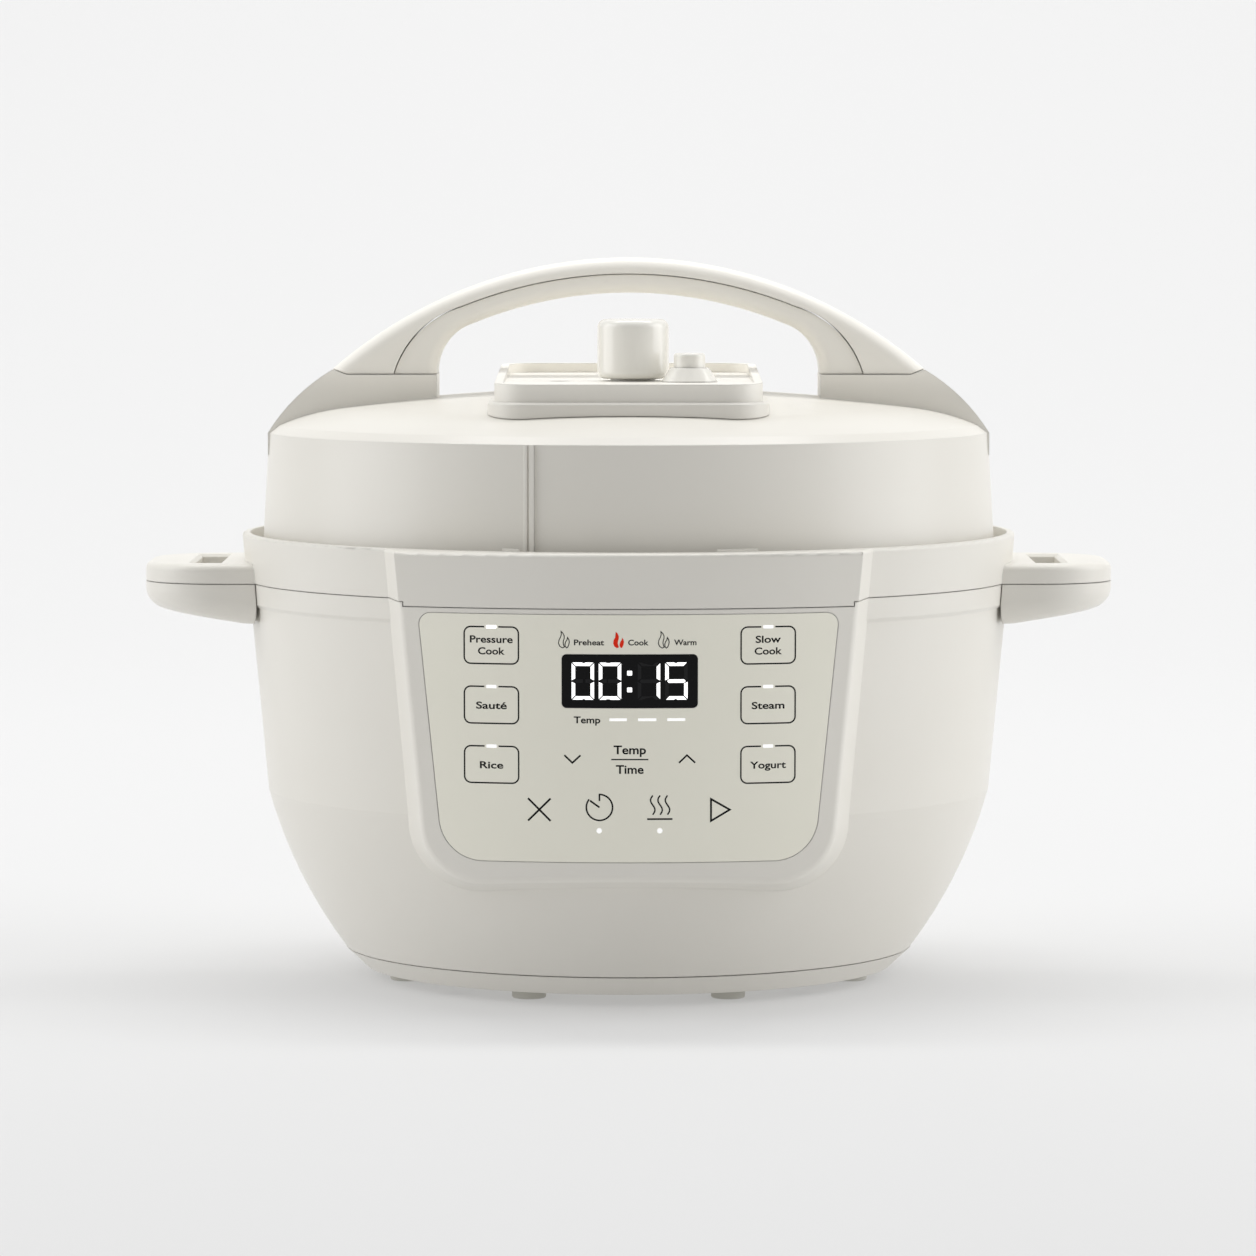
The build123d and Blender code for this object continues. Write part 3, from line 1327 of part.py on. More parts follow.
def make_steam_pipe():
    z_low = steel_lid_z(math.hypot(knob_x, knob_y)) - steel_thick - 10
    pipe = tube(pipe_r, pipe_bore_r, z_low, pipe_top_z, knob_x, knob_y)
    seat_z = steel_lid_z(math.hypot(knob_x, knob_y) - 7) + 0.4
    pipe += tube(7.0, pipe_bore_r, seat_z, seat_z + 1.6, knob_x, knob_y)
    return pipe


def make_pipe_nut():
    z_high = steel_lid_z(math.hypot(knob_x, knob_y) + 7) - steel_thick - 0.2
    nut = extrude(Pos(knob_x, knob_y, z_high - 4) * RegularPolygon(7.0, 6), 4)
    nut -= rod(pipe_r + pin_gap, 0, through_all, knob_x, knob_y)
    return nut


def make_steam_shield():
    """The perforated cap that keeps food out of the steam pipe."""
    z_high = steel_lid_z(math.hypot(knob_x, knob_y) + 13) - steel_thick - 5.2
    z_low = z_high - 9
    cap = tube(12.5, 11.7, z_low, z_high, knob_x, knob_y)
    cap += rod(12.5, z_low, z_low + 0.8, knob_x, knob_y)
    cap += tube(12.5, pipe_r + pin_gap, z_high - 0.8, z_high, knob_x, knob_y)
    for index in range(12):
        slot = Rot(0, 0, index * 30) * block((11, 13.5), (-0.9, 0.9), (z_low + 2, z_high - 2.2))
        cap -= Pos(knob_x, knob_y, 0) * slot
    return cap


def make_steam_knob():
    """The weighted knob that sits loosely on the steam pipe."""
    low = deck_z + knob_gap
    high = low + knob_height
    knob = rod(knob_r, low, high, knob_x, knob_y)
    knob = fillet(knob.edges().sort_by(Axis.Z)[-1], 3.2)
    knob = fillet(knob.edges().sort_by(Axis.Z)[0], 2.4)
    knob += rod(sleeve_r, lever_z + nose_top, low + 1, knob_x, knob_y)
    knob -= rod(pipe_r + 0.3, 0, pipe_top_z + 0.3, knob_x, knob_y)
    return knob


def make_button():
    top = deck_z + bezel_height + button_height
    shoulder_z = button_shoulder_z()
    cap = rod(button_r, shoulder_z - 0.5, top, button_x, button_y)
    cap = fillet(cap.edges().sort_by(Axis.Z)[-1], 1.2)
    cap += rod(button_r + 0.9, shoulder_z - 1.3, shoulder_z, button_x, button_y)
    cap += rod(button_stem_r, lever_z + nose_top, shoulder_z - 0.5, button_x, button_y)
    return cap


def button_shoulder_z():
    """Where the button's flange stops under the bezel's lip."""
    return deck_z + 1.9


def make_button_bezel():
    """The tapered ring around the button; its socket below holds the return spring."""
    foot_z = deck_z + 0.1
    cone = Pos(button_x, button_y, foot_z + bezel_height / 2) * Cone(bezel_foot_r, bezel_top_r, bezel_height)
    cone += rod(socket_r, deck_z - socket_drop, foot_z + 0.5, button_x, button_y)
    cone -= rod(button_r + slide_gap, foot_z, foot_z + 20, button_x, button_y)
    cone -= rod(button_r + 0.9 + slide_gap, spring_floor_z(), foot_z + 1.9, button_x, button_y)
    cone -= rod(button_stem_r + slide_gap, 0, through_all, button_x, button_y)
    return cone


def spring_floor_z():
    """The socket's floor: the flange stops on the closed spring at the end of the travel."""
    return button_shoulder_z() - 1.3 - button_travel - closed_spring_h


def make_button_spring():
    top = button_shoulder_z() - 1.3
    return coil(button_stem_r + 1.4, 0.4, spring_floor_z(), top, 5, button_x, button_y)


def make_float_valve():
    low = steel_lid_z(math.hypot(float_x, float_y)) - steel_thick - 9.5
    return rod(float_r, low, deck_z - 1.0, float_x, float_y) + rod(float_r + 1.6, low - 1.2, low, float_x, float_y)


def make_float_cap():
    low = steel_lid_z(math.hypot(float_x, float_y)) - steel_thick - 9.4
    return tube(float_r + 3.2, float_r + pin_gap, low, low + 2.0, float_x, float_y)


nodes = {
    "lower_housing": make_lower_housing,
    "base_pan": make_base_pan,
    "rubber_feet": make_feet,
    "pan_screws": make_pan_screws,
    "collar_ring": make_collar_ring,
    "collar_screws": make_collar_screws,
    "handle_grip_left": lambda: make_handle_grip(-1),
    "handle_grip_right": lambda: make_handle_grip(1),
    "grip_screws": make_grip_screws,
    "condensation_cup": make_condensation_cup,
    "steel_liner": make_lugged_liner,
    "inner_pot": make_inner_pot,
    "heating_plate": make_heating_plate,
    "heating_element": make_heating_element,
    "plate_bolts": make_plate_bolts,
    "sensor_strap": make_sensor_strap,
    "temperature_sensor": make_sensor_cup,
    "sensor_spring": make_sensor_spring,
    "pressure_switch": make_pressure_switch,
    "thermal_fuse": make_thermal_fuse,
    "power_board": make_power_board,
    "power_components": make_power_parts,
    "mains_inlet": make_mains_inlet,
    "inlet_pins": make_inlet_pins,
    "mains_leads": make_mains_leads,
    "ribbon_cable": make_ribbon_cable,
    "control_panel": make_fascia_panel,
    "display_window": make_display_window,
    "display_module": make_display_module,
    "control_board": make_control_board,
    "board_frame": make_board_frame,
    "board_screws": make_board_screws,
    "touch_springs": make_touch_springs,
    "lid_cover": make_lid_cover,
    "carry_handle_top": make_arch_cover,
    "carry_handle_grip": make_arch_grip,
    "carry_handle_screws": make_arch_screws,
    "valve_deck": make_valve_deck,
    "pressure_lid": make_pressure_lid,
    "lid_screws": make_lid_screws,
    "sealing_ring": make_sealing_ring,
    "sealing_ring_rack": make_ring_rack,
    "steam_pipe": make_steam_pipe,
    "steam_pipe_nut": make_pipe_nut,
    "steam_shield": make_steam_shield,
    "steam_release_knob": make_steam_knob,
    "quick_release_button": make_button,
    "button_bezel": make_button_bezel,
    "button_spring": make_button_spring,
    "release_lever": make_release_lever,
    "lever_pin": make_lever_pin,
    "float_valve": make_float_valve,
    "float_cap": make_float_cap,
}

os.makedirs("parts", exist_ok=True)
for node, make in nodes.items():
    shape = make()
    export_step(shape, f"parts/{node}.step")
    print(node, round(shape.volume), len(shape.solids()))
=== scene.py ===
import json
import math

import bmesh
import bpy
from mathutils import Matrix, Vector
from mathutils.bvhtree import BVHTree


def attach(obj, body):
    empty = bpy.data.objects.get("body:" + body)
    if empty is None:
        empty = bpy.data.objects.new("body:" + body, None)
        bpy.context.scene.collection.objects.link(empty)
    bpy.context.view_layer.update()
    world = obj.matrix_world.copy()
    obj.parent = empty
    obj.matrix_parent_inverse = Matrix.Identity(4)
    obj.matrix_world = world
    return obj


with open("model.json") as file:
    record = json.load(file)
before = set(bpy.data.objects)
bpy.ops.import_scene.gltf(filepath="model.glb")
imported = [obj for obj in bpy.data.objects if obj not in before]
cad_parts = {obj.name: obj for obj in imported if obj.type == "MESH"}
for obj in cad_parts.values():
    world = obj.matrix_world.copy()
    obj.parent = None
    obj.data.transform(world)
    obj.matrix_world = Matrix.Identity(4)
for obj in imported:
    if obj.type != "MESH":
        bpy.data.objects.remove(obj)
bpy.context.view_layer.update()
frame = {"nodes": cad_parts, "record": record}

nodes = frame["nodes"]
slotOf = {part["node"]: part["material_slot"] for part in frame["record"]["subparts"]}
mm = 0.001
print("frame loaded,", len(slotOf), "nodes to finish")


class Wire:
    # one output socket; the operators add Math nodes behind it
    def __init__(self, paint, socket):
        self.paint = paint
        self.socket = socket

    def maths(self, operation, other, swap=False):
        first, second = (other, self) if swap else (self, other)
        return self.paint.node("ShaderNodeMath", {"operation": operation}, {0: first, 1: second})

    def __add__(self, other):
        return self.maths("ADD", other)

    def __sub__(self, other):
        return self.maths("SUBTRACT", other)

    def __rsub__(self, other):
        return self.maths("SUBTRACT", other, swap=True)

    def __mul__(self, other):
        return self.maths("MULTIPLY", other)

    def __truediv__(self, other):
        return self.maths("DIVIDE", other)

    def __pow__(self, other):
        return self.maths("POWER", other)

    __radd__ = __add__
    __rmul__ = __mul__


class Paint:
    # the node tree of a material or of the room, with the coordinates its patterns use
    def __init__(self, name, shelf=None, coordinates="Object"):
        self.holder = (bpy.data.materials if shelf is None else shelf).new(name)
        self.holder.use_nodes = True
        self.tree = self.holder.node_tree
        self.tree.nodes.clear()
        self.place = self.node("ShaderNodeTexCoord", out=coordinates)

    def node(self, kind, settings=None, sockets=None, out=0):
        made = self.tree.nodes.new(kind)
        for key, value in (settings or {}).items():
            if key == "stops":
                for stop, (position, tone) in zip(made.color_ramp.elements, value):
                    stop.position = position
                    stop.color = (tone, tone, tone, 1)
            else:
                setattr(made, key, value)
        for key, value in (sockets or {}).items():
            if isinstance(value, Wire):
                self.tree.links.new(value.socket, made.inputs[key])
            else:
                made.inputs[key].default_value = value
        return Wire(self, made.outputs[out]) if len(made.outputs) else None

    def noise(self, scale, detail=2.0, rough=0.5, place=None):
        return self.node("ShaderNodeTexNoise", None, {"Vector": place or self.place, "Scale": scale,
                         "Detail": detail, "Roughness": rough})

    def ramp(self, factor, low, high):
        # 0 at low, 1 at high
        return self.node("ShaderNodeValToRGB", {"stops": ((low, 0.0), (high, 1.0))}, {"Fac": factor})

    def mix(self, factor, first, second):
        return self.node("ShaderNodeMix", {"data_type": "RGBA"},
                         {0: factor, 6: colour4(first), 7: colour4(second)}, out=2)

    def stretched(self, x, y, z):
        return self.node("ShaderNodeVectorMath", {"operation": "MULTIPLY"}, {0: self.place, 1: (x, y, z)})

    def along(self, axis):
        return self.node("ShaderNodeSeparateXYZ", None, {0: self.place}, out=axis)

    def spun(self, across, around):
        # coordinates in which a lathe's marks run round the pot's axis
        x, y, z = (self.along(axis) for axis in "XYZ")
        radius = (x * x + y * y) ** 0.5
        turn = y.maths("ARCTAN2", x)
        return self.node("ShaderNodeCombineXYZ", None, {0: radius * across, 1: turn * around, 2: z * across})

    def edges(self, size, sharpness=6.0):
        # 1 where the surface turns sharply within size, and the rounded normal there
        rounded = self.node("ShaderNodeBevel", {"samples": 4}, {"Radius": size})
        flat = self.node("ShaderNodeNewGeometry", out="Normal")
        same = self.node("ShaderNodeVectorMath", {"operation": "DOT_PRODUCT"}, {0: rounded, 1: flat},
                         out="Value")
        return self.node("ShaderNodeClamp", None, {"Value": (1.0 - same) * sharpness}), rounded

    def finish(self, sockets):
        shader = self.node("ShaderNodeBsdfPrincipled", None, sockets)
        self.node("ShaderNodeOutputMaterial", None, {"Surface": shader})
        return self.holder


def colour4(value):
    return value if isinstance(value, Wire) else (*value[:3], 1.0)


def moulded(name, look):
    # injection-moulded plastic: a faint cloud in the colour, a fine skin, edges rubbed lighter, and where
    # asked a painted lighter tone above a height
    paint = Paint(name)
    cloud = paint.ramp(paint.noise(look["cloud"], 4.0), 0.35, 0.68)
    edge, rounded = paint.edges(look["edge"])
    tone = paint.mix(cloud, look["colour"], look["shade"])
    # painted light: the tone turns paler above a height, standing in for the light from above that falls on
    # the lid's top
    if "pale" in look:  # paler above one height than below another
        low, high = look["paleFrom"]
        rise = paint.node("ShaderNodeMapRange", {"interpolation_type": "SMOOTHSTEP"},
                          {"Value": paint.along("Z"), "From Min": low, "From Max": high})
        tone = paint.mix(rise, tone, look["pale"])
    tone = paint.mix(edge * look["wear"], tone, look["worn"])
    skin = paint.noise(look["skin"], 3.0, 0.6)
    smear = paint.noise(look["smear"], 3.0)
    rough = look["rough"] + (smear - 0.5) * 0.12 + (skin - 0.5) * 0.06
    bump = paint.node("ShaderNodeBump", None, {"Strength": look["depth"], "Distance": 0.00005,
                      "Height": skin, "Normal": rounded})
    return paint.finish({"Base Color": tone, "Roughness": rough, "Normal": bump, "Coat Weight": look["coat"],
                         "Coat Roughness": 0.16, "IOR": 1.48, "Specular IOR Level": look["shine"]})


def metal(name, look):
    # sheet and turned metal, with brush marks round the axis or along one side
    paint = Paint(name)
    if look["marks"] == "round":
        place = paint.spun(look["fine"], 3.0)
    else:
        place = paint.stretched(look["fine"] * 0.04, look["fine"], look["fine"])
    lines = paint.noise(1.0, 5.0, 0.65, place)
    smear = paint.noise(look["smear"], 4.0)
    edge, rounded = paint.edges(look["edge"])
    tone = paint.mix(lines, look["colour"], look["shade"])
    tone = paint.mix(edge * 0.5, tone, look["worn"])
    bump = paint.node("ShaderNodeBump", None, {"Strength": look["depth"], "Distance": 0.00004,
                      "Height": lines, "Normal": rounded})
    return paint.finish({"Base Color": tone, "Metallic": 1.0, "Normal": bump,
                         "Roughness": look["rough"] + (lines - 0.5) * 0.22 + (smear - 0.5) * 0.12})


def rubber(name, look):
    # rubber and silicone: dull, with specks and a dusty bloom on the edges
    paint = Paint(name)
    specks = paint.noise(900.0, 2.0)
    bloom = paint.noise(45.0, 4.0)
    edge, rounded = paint.edges(look["edge"])
    tone = paint.mix(bloom, look["colour"], look["shade"])
    tone = paint.mix(edge * 0.4, tone, look["worn"])
    bump = paint.node("ShaderNodeBump", None, {"Strength": 0.35, "Distance": 0.00006, "Height": specks,
                      "Normal": rounded})
    rough = look["rough"] + (bloom - 0.5) * 0.2
    return paint.finish({"Base Color": tone, "Roughness": rough, "Normal": bump})


def laminate(name, look):
    # circuit board: woven glass under the mask, with blocks of copper showing through it
    paint = Paint(name)
    weave = paint.node("ShaderNodeTexWave", {"wave_type": "BANDS", "bands_direction": "DIAGONAL"},
                       {"Vector": paint.place, "Scale": 420.0, "Distortion": 1.5, "Detail": 1.0})
    tracks = paint.node("ShaderNodeTexVoronoi", {"distance": "MANHATTAN", "feature": "F1"},
                        {"Vector": paint.place, "Scale": 160.0}, out="Distance")
    copper = paint.ramp(tracks, 0.32, 0.36)
    tone = paint.mix(copper, look["copper"], look["colour"])
    tone = paint.mix(weave * 0.25, tone, look["shade"])
    bump = paint.node("ShaderNodeBump", None, {"Strength": 0.3, "Distance": 0.00004, "Height": copper})
    return paint.finish({"Base Color": tone, "Roughness": 0.42 + weave * 0.1, "Normal": bump})


def lit(name, colour, strength):
    # a lamp or an LED segment behind a diffuser, glowing by emission (for the unlit lamps this glow is
    # painted): a little brighter in its middle grain
    paint = Paint(name)
    grain = paint.noise(1500.0, 2.0)
    tone = paint.mix(grain * 0.2, colour, [0.9 * c for c in colour])
    return paint.finish({"Base Color": tone, "Emission Color": tone, "Emission Strength": strength,
                         "Roughness": 0.5 + (grain - 0.5) * 0.1})


cream = {"colour": (0.790, 0.768, 0.712), "shade": (0.772, 0.749, 0.690), "worn": (0.86, 0.845, 0.80),
         "cloud": 14.0, "edge": 0.0007, "wear": 0.45, "skin": 2600.0, "smear": 38.0, "depth": 0.16,
         "rough": 0.40, "coat": 0.12, "shine": 0.5}
dark = {**cream, "colour": (0.028, 0.028, 0.030), "shade": (0.040, 0.040, 0.042), "worn": (0.11, 0.11, 0.11),
        "coat": 0.0, "rough": 0.46}
steel = {"colour": (0.62, 0.61, 0.60), "shade": (0.50, 0.49, 0.48), "worn": (0.80, 0.80, 0.79),
         "marks": "round", "fine": 2400.0, "smear": 24.0, "edge": 0.0005, "depth": 0.25, "rough": 0.30}

finishes = {
    "body_plastic": (moulded, cream),
    # the lid is painted paler above the deck height: painted light from above, not a colour of the plastic
    "lid_plastic": (moulded, {**cream, "cloud": 11.0, "pale": (0.93, 0.905, 0.84),
                              "paleFrom": (0.209, 0.222)}),
    "panel_film": (moulded, {**cream, "colour": (0.90, 0.882, 0.775), "shade": (0.89, 0.872, 0.762),
                             "rough": 0.44, "coat": 0.05, "depth": 0.08, "edge": 0.0004}),
    "display_lens": (moulded, {**dark, "colour": (0.0035, 0.0035, 0.0038), "shade": (0.0045, 0.0045, 0.005),
                               "worn": (0.01, 0.01, 0.01), "rough": 0.2, "depth": 0.02, "wear": 0.1,
                               "shine": 0.12}),
    "knob_plastic": (moulded, {**cream, "colour": (0.86, 0.845, 0.79), "shade": (0.84, 0.822, 0.765),
                               "rough": 0.24, "coat": 0.7, "wear": 0.3}),
    "cup_plastic": (moulded, {**cream, "colour": (0.80, 0.79, 0.75), "shade": (0.77, 0.76, 0.72),
                              "rough": 0.3}),
    "frame_plastic": (moulded, {**cream, "colour": (0.78, 0.78, 0.76), "shade": (0.74, 0.74, 0.72)}),
    "lever_plastic": (moulded, {**cream, "colour": (0.72, 0.71, 0.67), "shade": (0.66, 0.65, 0.60),
                                "rough": 0.5}),
    "switch_plastic": (moulded, {**dark, "colour": (0.06, 0.06, 0.062)}),
    "component_plastic": (moulded, {**dark, "colour": (0.035, 0.037, 0.045), "rough": 0.34}),
    "inlet_plastic": (moulded, dark),
    "fuse_ceramic": (moulded, {**cream, "colour": (0.82, 0.80, 0.74), "rough": 0.6, "skin": 1500.0}),
    "lead_sleeve": (rubber, {"colour": (0.72, 0.72, 0.69), "shade": (0.62, 0.62, 0.58),
                             "worn": (0.8, 0.8, 0.78), "edge": 0.0005, "rough": 0.55}),
    "ribbon_plastic": (rubber, {"colour": (0.62, 0.62, 0.63), "shade": (0.52, 0.52, 0.54),
                                "worn": (0.7, 0.7, 0.7), "edge": 0.0005, "rough": 0.45}),
    "foot_rubber": (rubber, {"colour": (0.66, 0.65, 0.60), "shade": (0.56, 0.55, 0.50),
                             "worn": (0.72, 0.71, 0.67), "edge": 0.0005, "rough": 0.72}),
    "seal_silicone": (rubber, {"colour": (0.80, 0.80, 0.78), "shade": (0.72, 0.72, 0.69),
                               "worn": (0.86, 0.86, 0.84), "edge": 0.0005, "rough": 0.5}),
    "pot_steel": (metal, {**steel, "rough": 0.26}),
    "lid_steel": (metal, {**steel, "colour": (0.64, 0.635, 0.62)}),
    "liner_steel": (metal, {**steel, "colour": (0.55, 0.545, 0.53), "rough": 0.38, "marks": "straight"}),
    "plate_aluminium": (metal, {**steel, "colour": (0.70, 0.70, 0.71), "shade": (0.60, 0.60, 0.61),
                                "rough": 0.34, "fine": 3200.0}),
    "element_steel": (metal, {**steel, "colour": (0.30, 0.28, 0.25), "shade": (0.22, 0.20, 0.18),
                              "rough": 0.5}),
    "strap_steel": (metal, {**steel, "colour": (0.56, 0.56, 0.55), "rough": 0.42, "marks": "straight"}),
    "spring_steel": (metal, {**steel, "colour": (0.66, 0.66, 0.66), "rough": 0.22, "marks": "straight"}),
    "screw_steel": (metal, {**steel, "colour": (0.60, 0.60, 0.59), "marks": "straight"}),
    "pin_brass": (metal, {**steel, "colour": (0.74, 0.66, 0.47), "shade": (0.62, 0.53, 0.35),
                          "rough": 0.28, "marks": "straight"}),
    "board_laminate": (laminate, {"colour": (0.015, 0.10, 0.035), "copper": (0.03, 0.17, 0.06),
                                  "shade": (0.03, 0.13, 0.06)}),
}
made = {}
for node, slot in slotOf.items():
    if slot not in made:
        maker, look = finishes[slot]
        made[slot] = maker(slot, look)
    body = nodes[node].data
    body.materials.clear()
    body.materials.append(made[slot])
    body.polygons.foreach_set("material_index", [0] * len(body.polygons))
print("finishes on", len(slotOf), "nodes")


def surfaceOf(*names):
    # how far forward the outermost of these nodes is at a place on the front
    trees = []
    for name in names:
        mesh = nodes[name].data
        corners = [v.co for v in mesh.vertices]
        trees.append(BVHTree.FromPolygons(corners, [p.vertices for p in mesh.polygons]))

    def depth(x, z):
        hits = [tree.ray_cast(Vector((x, -1, z)), Vector((0, 1, 0)))[0] for tree in trees]
        return min(hit.y for hit in hits if hit)
    return depth


def stroke(points, width, closed=False, step=1.5):
    # a line of even width through points, as quads; corners are mitred
    line = []
    count = len(points)
    for index in range(count if closed else count - 1):
        a, b = Vector(points[index]), Vector(points[(index + 1) % count])
        parts = max(1, math.ceil((b - a).length / step))
        line += [a.lerp(b, k / parts) for k in range(parts)]
    if not closed:
        line.append(Vector(points[-1]))
    total = len(line)
    left, right = [], []
    for index, point in enumerate(line):
        before = line[index - 1] if closed or index else point
        after = line[(index + 1) % total] if closed or index < total - 1 else point
        inward = (point - before).normalized() if point != before else (after - point).normalized()
        onward = (after - point).normalized() if point != after else inward
        way = (inward + onward).normalized()
        side = Vector((-way.y, way.x)) * (width / 2 / max(0.35, way.dot(onward)))
        left.append(point + side)
        right.append(point - side)
    loops = range(total) if closed else range(total - 1)
    return [(left[i], left[(i + 1) % total], right[(i + 1) % total], right[i]) for i in loops]


def arc(x, z, r, start, end, steps=16):
    turns = [math.radians(start + (end - start) * k / steps) for k in range(steps + 1)]
    return [(x + r * math.cos(t), z + r * math.sin(t)) for t in turns]


def roundedBox(x, z, w, h, r, steps=6):
    # counter-clockwise from the right side's foot
    corners = ((x + w / 2 - r, z - h / 2 + r, -90), (x + w / 2 - r, z + h / 2 - r, 0),
               (x - w / 2 + r, z + h / 2 - r, 90), (x - w / 2 + r, z - h / 2 + r, 180))
    return [p for cx, cz, start in corners for p in arc(cx, cz, r, start, start + 90, steps)]


def printOn(name, faces, depth, material, proud, body="cooker_base", sunk=0.02):
    # faces drawn in millimetres on the front become a thin raised layer that follows the surface
    mesh = bmesh.new()
    known = {}

    def corner(point):
        key = (round(point[0], 4), round(point[1], 4))
        if key not in known:
            x, z = key[0] * mm, key[1] * mm
            known[key] = mesh.verts.new((x, depth(x, z), z))
        return known[key]
    for face in faces:
        ring = []
        for point in face:
            vert = corner(point)
            if vert not in ring:
                ring.append(vert)
        if len(ring) > 2 and not mesh.faces.get(ring):
            mesh.faces.new(ring)
    bmesh.ops.triangulate(mesh, faces=[f for f in mesh.faces if len(f.verts) > 4])
    base = list(mesh.verts)
    raised = bmesh.ops.extrude_face_region(mesh, geom=list(mesh.faces))
    for item in raised["geom"]:
        if isinstance(item, bmesh.types.BMVert):
            item.co.y -= proud * mm
    for vert in base:
        vert.co.y += sunk * mm
    bmesh.ops.recalc_face_normals(mesh, faces=list(mesh.faces))
    data = bpy.data.meshes.new(name)
    mesh.to_mesh(data)
    mesh.free()
    piece = bpy.data.objects.new(name, data)
    bpy.context.scene.collection.objects.link(piece)
    data.materials.append(material)
    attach(piece, body)
    return piece


def lettering(words, x, z, width, height, weight=0.0):
    # the outlines of a word as faces, fitted to a width and a capital's height
    curve = bpy.data.curves.new("word", "FONT")
    curve.body = words
    curve.offset = weight
    curve.resolution_u = 4
    holder = bpy.data.objects.new("word", curve)
    bpy.context.scene.collection.objects.link(holder)
    bpy.context.view_layer.update()
    mesh = bpy.data.meshes.new_from_object(holder)
    xs = [v.co.x for v in mesh.vertices]
    low, wide = min(xs), max(xs) - min(xs)
    capital = 0.729  # a capital's height in this typeface, at size 1
    drawn = [(x + ((v.co.x - low) / wide - 0.5) * width, z + v.co.y / capital * height)
             for v in mesh.vertices]
    faces = [[drawn[i] for i in polygon.vertices] for polygon in mesh.polygons]
    bpy.data.objects.remove(holder)
    bpy.data.curves.remove(curve)
    bpy.data.meshes.remove(mesh)
    return faces


# millimetres across from the pot's axis and up from the floor
panel = {
    "columns": (-46.6, 47.4), "rows": (129.3, 108.9, 88.5),
    "keyWide": 18.5, "keyHigh": 12.6, "keyRound": 2.2, "line": 0.5, "lampGap": 4.8,
    "lampWide": 3.5, "lampHigh": 1.15, "lampRound": 0.25, "proud": 0.03,
}
inkLook = {**dark, "colour": (0.006, 0.006, 0.006), "shade": (0.009, 0.009, 0.009), "rough": 0.6,
           "edge": 0.00003, "wear": 0.0, "shine": 0.15}
ink = moulded("print_ink", inkLook)
# the unlit lamps glow faintly as well: a painted glow, since these lamps are off
paintedGlowLamp = lit("lamp_off_painted_glow", (0.97, 0.97, 0.96), 0.42)
lampOn = lit("lamp_on", (1.0, 1.0, 0.98), 1.2)
redInk = moulded("print_red", {**inkLook, "colour": (0.84, 0.030, 0.008), "shade": (0.80, 0.026, 0.006)})
digitOn = lit("digit_on", (1.0, 1.0, 1.0), 0.9)
digitOff = moulded("digit_off", {**inkLook, "colour": (0.013, 0.013, 0.014), "shade": (0.016, 0.016, 0.017)})

film = surfaceOf("control_panel")
lens = surfaceOf("display_window")


def drawKeys():
    faces, lamps, lampLit = [], [], []
    gap = panel["lampGap"] / 2
    for column in panel["columns"]:
        for row in panel["rows"]:
            ring = roundedBox(column, row, panel["keyWide"], panel["keyHigh"], panel["keyRound"])
            top = row + panel["keyHigh"] / 2
            # the ring runs counter-clockwise from the lower right, and its top side is cut for the lamp
            half = len(ring) // 2
            path = [(column - gap, top)] + ring[half:] + ring[:half] + [(column + gap, top)]
            faces += stroke(path, panel["line"])
            lamp = roundedBox(column, top, panel["lampWide"], panel["lampHigh"], panel["lampRound"], 3)
            onKey = column == panel["columns"][0] and row == panel["rows"][0]
            (lampLit if onKey else lamps).append(lamp)
    return faces, lamps, lampLit


keyFaces, lampFaces, litFaces = drawKeys()

# each word with its middle, foot, width and a capital's height
words = (
    ("Pressure", panel["columns"][0], 130.2, 14.6, 2.45), ("Cook", panel["columns"][0], 126.2, 9.1, 2.45),
    ("Sauté", panel["columns"][0], 107.6, 10.5, 2.45), ("Rice", panel["columns"][0], 87.2, 8.0, 2.45),
    ("Slow", panel["columns"][1], 130.2, 8.6, 2.45), ("Cook", panel["columns"][1], 126.2, 9.3, 2.45),
    ("Steam", panel["columns"][1], 107.6, 11.2, 2.45), ("Yogurt", panel["columns"][1], 87.2, 12.3, 2.45),
    ("Preheat", -13.4, 129.7, 10.2, 1.95), ("Cook", 3.3, 129.7, 6.9, 1.95), ("Warm", 19.2, 129.7, 7.6, 1.95),
    ("Temp", -14.1, 103.1, 9.0, 2.35), ("Temp", 0.4, 92.6, 11.0, 3.0), ("Time", 0.4, 85.9, 9.4, 3.0),
)
wordFaces = [face for text, x, z, w, h in words for face in lettering(text, x, z, w, h, 0.02)]


def flame(x, z, high):
    # a tongue of flame with a curl, as one outline
    shape = ((0.30, 0.0), (0.10, 0.10), (0.0, 0.28), (0.04, 0.48), (0.16, 0.66), (0.22, 0.82), (0.20, 1.0),
             (0.34, 0.90), (0.44, 0.74), (0.44, 0.58), (0.38, 0.44), (0.36, 0.30), (0.40, 0.16), (0.46, 0.06))
    small = ((0.62, 0.0), (0.52, 0.10), (0.50, 0.24), (0.56, 0.38), (0.66, 0.50), (0.70, 0.64),
             (0.80, 0.52), (0.84, 0.36), (0.80, 0.20), (0.72, 0.06))
    return [[(x + (a - 0.42) * 0.78 * high, z + b * high) for a, b in part] for part in (shape, small)]


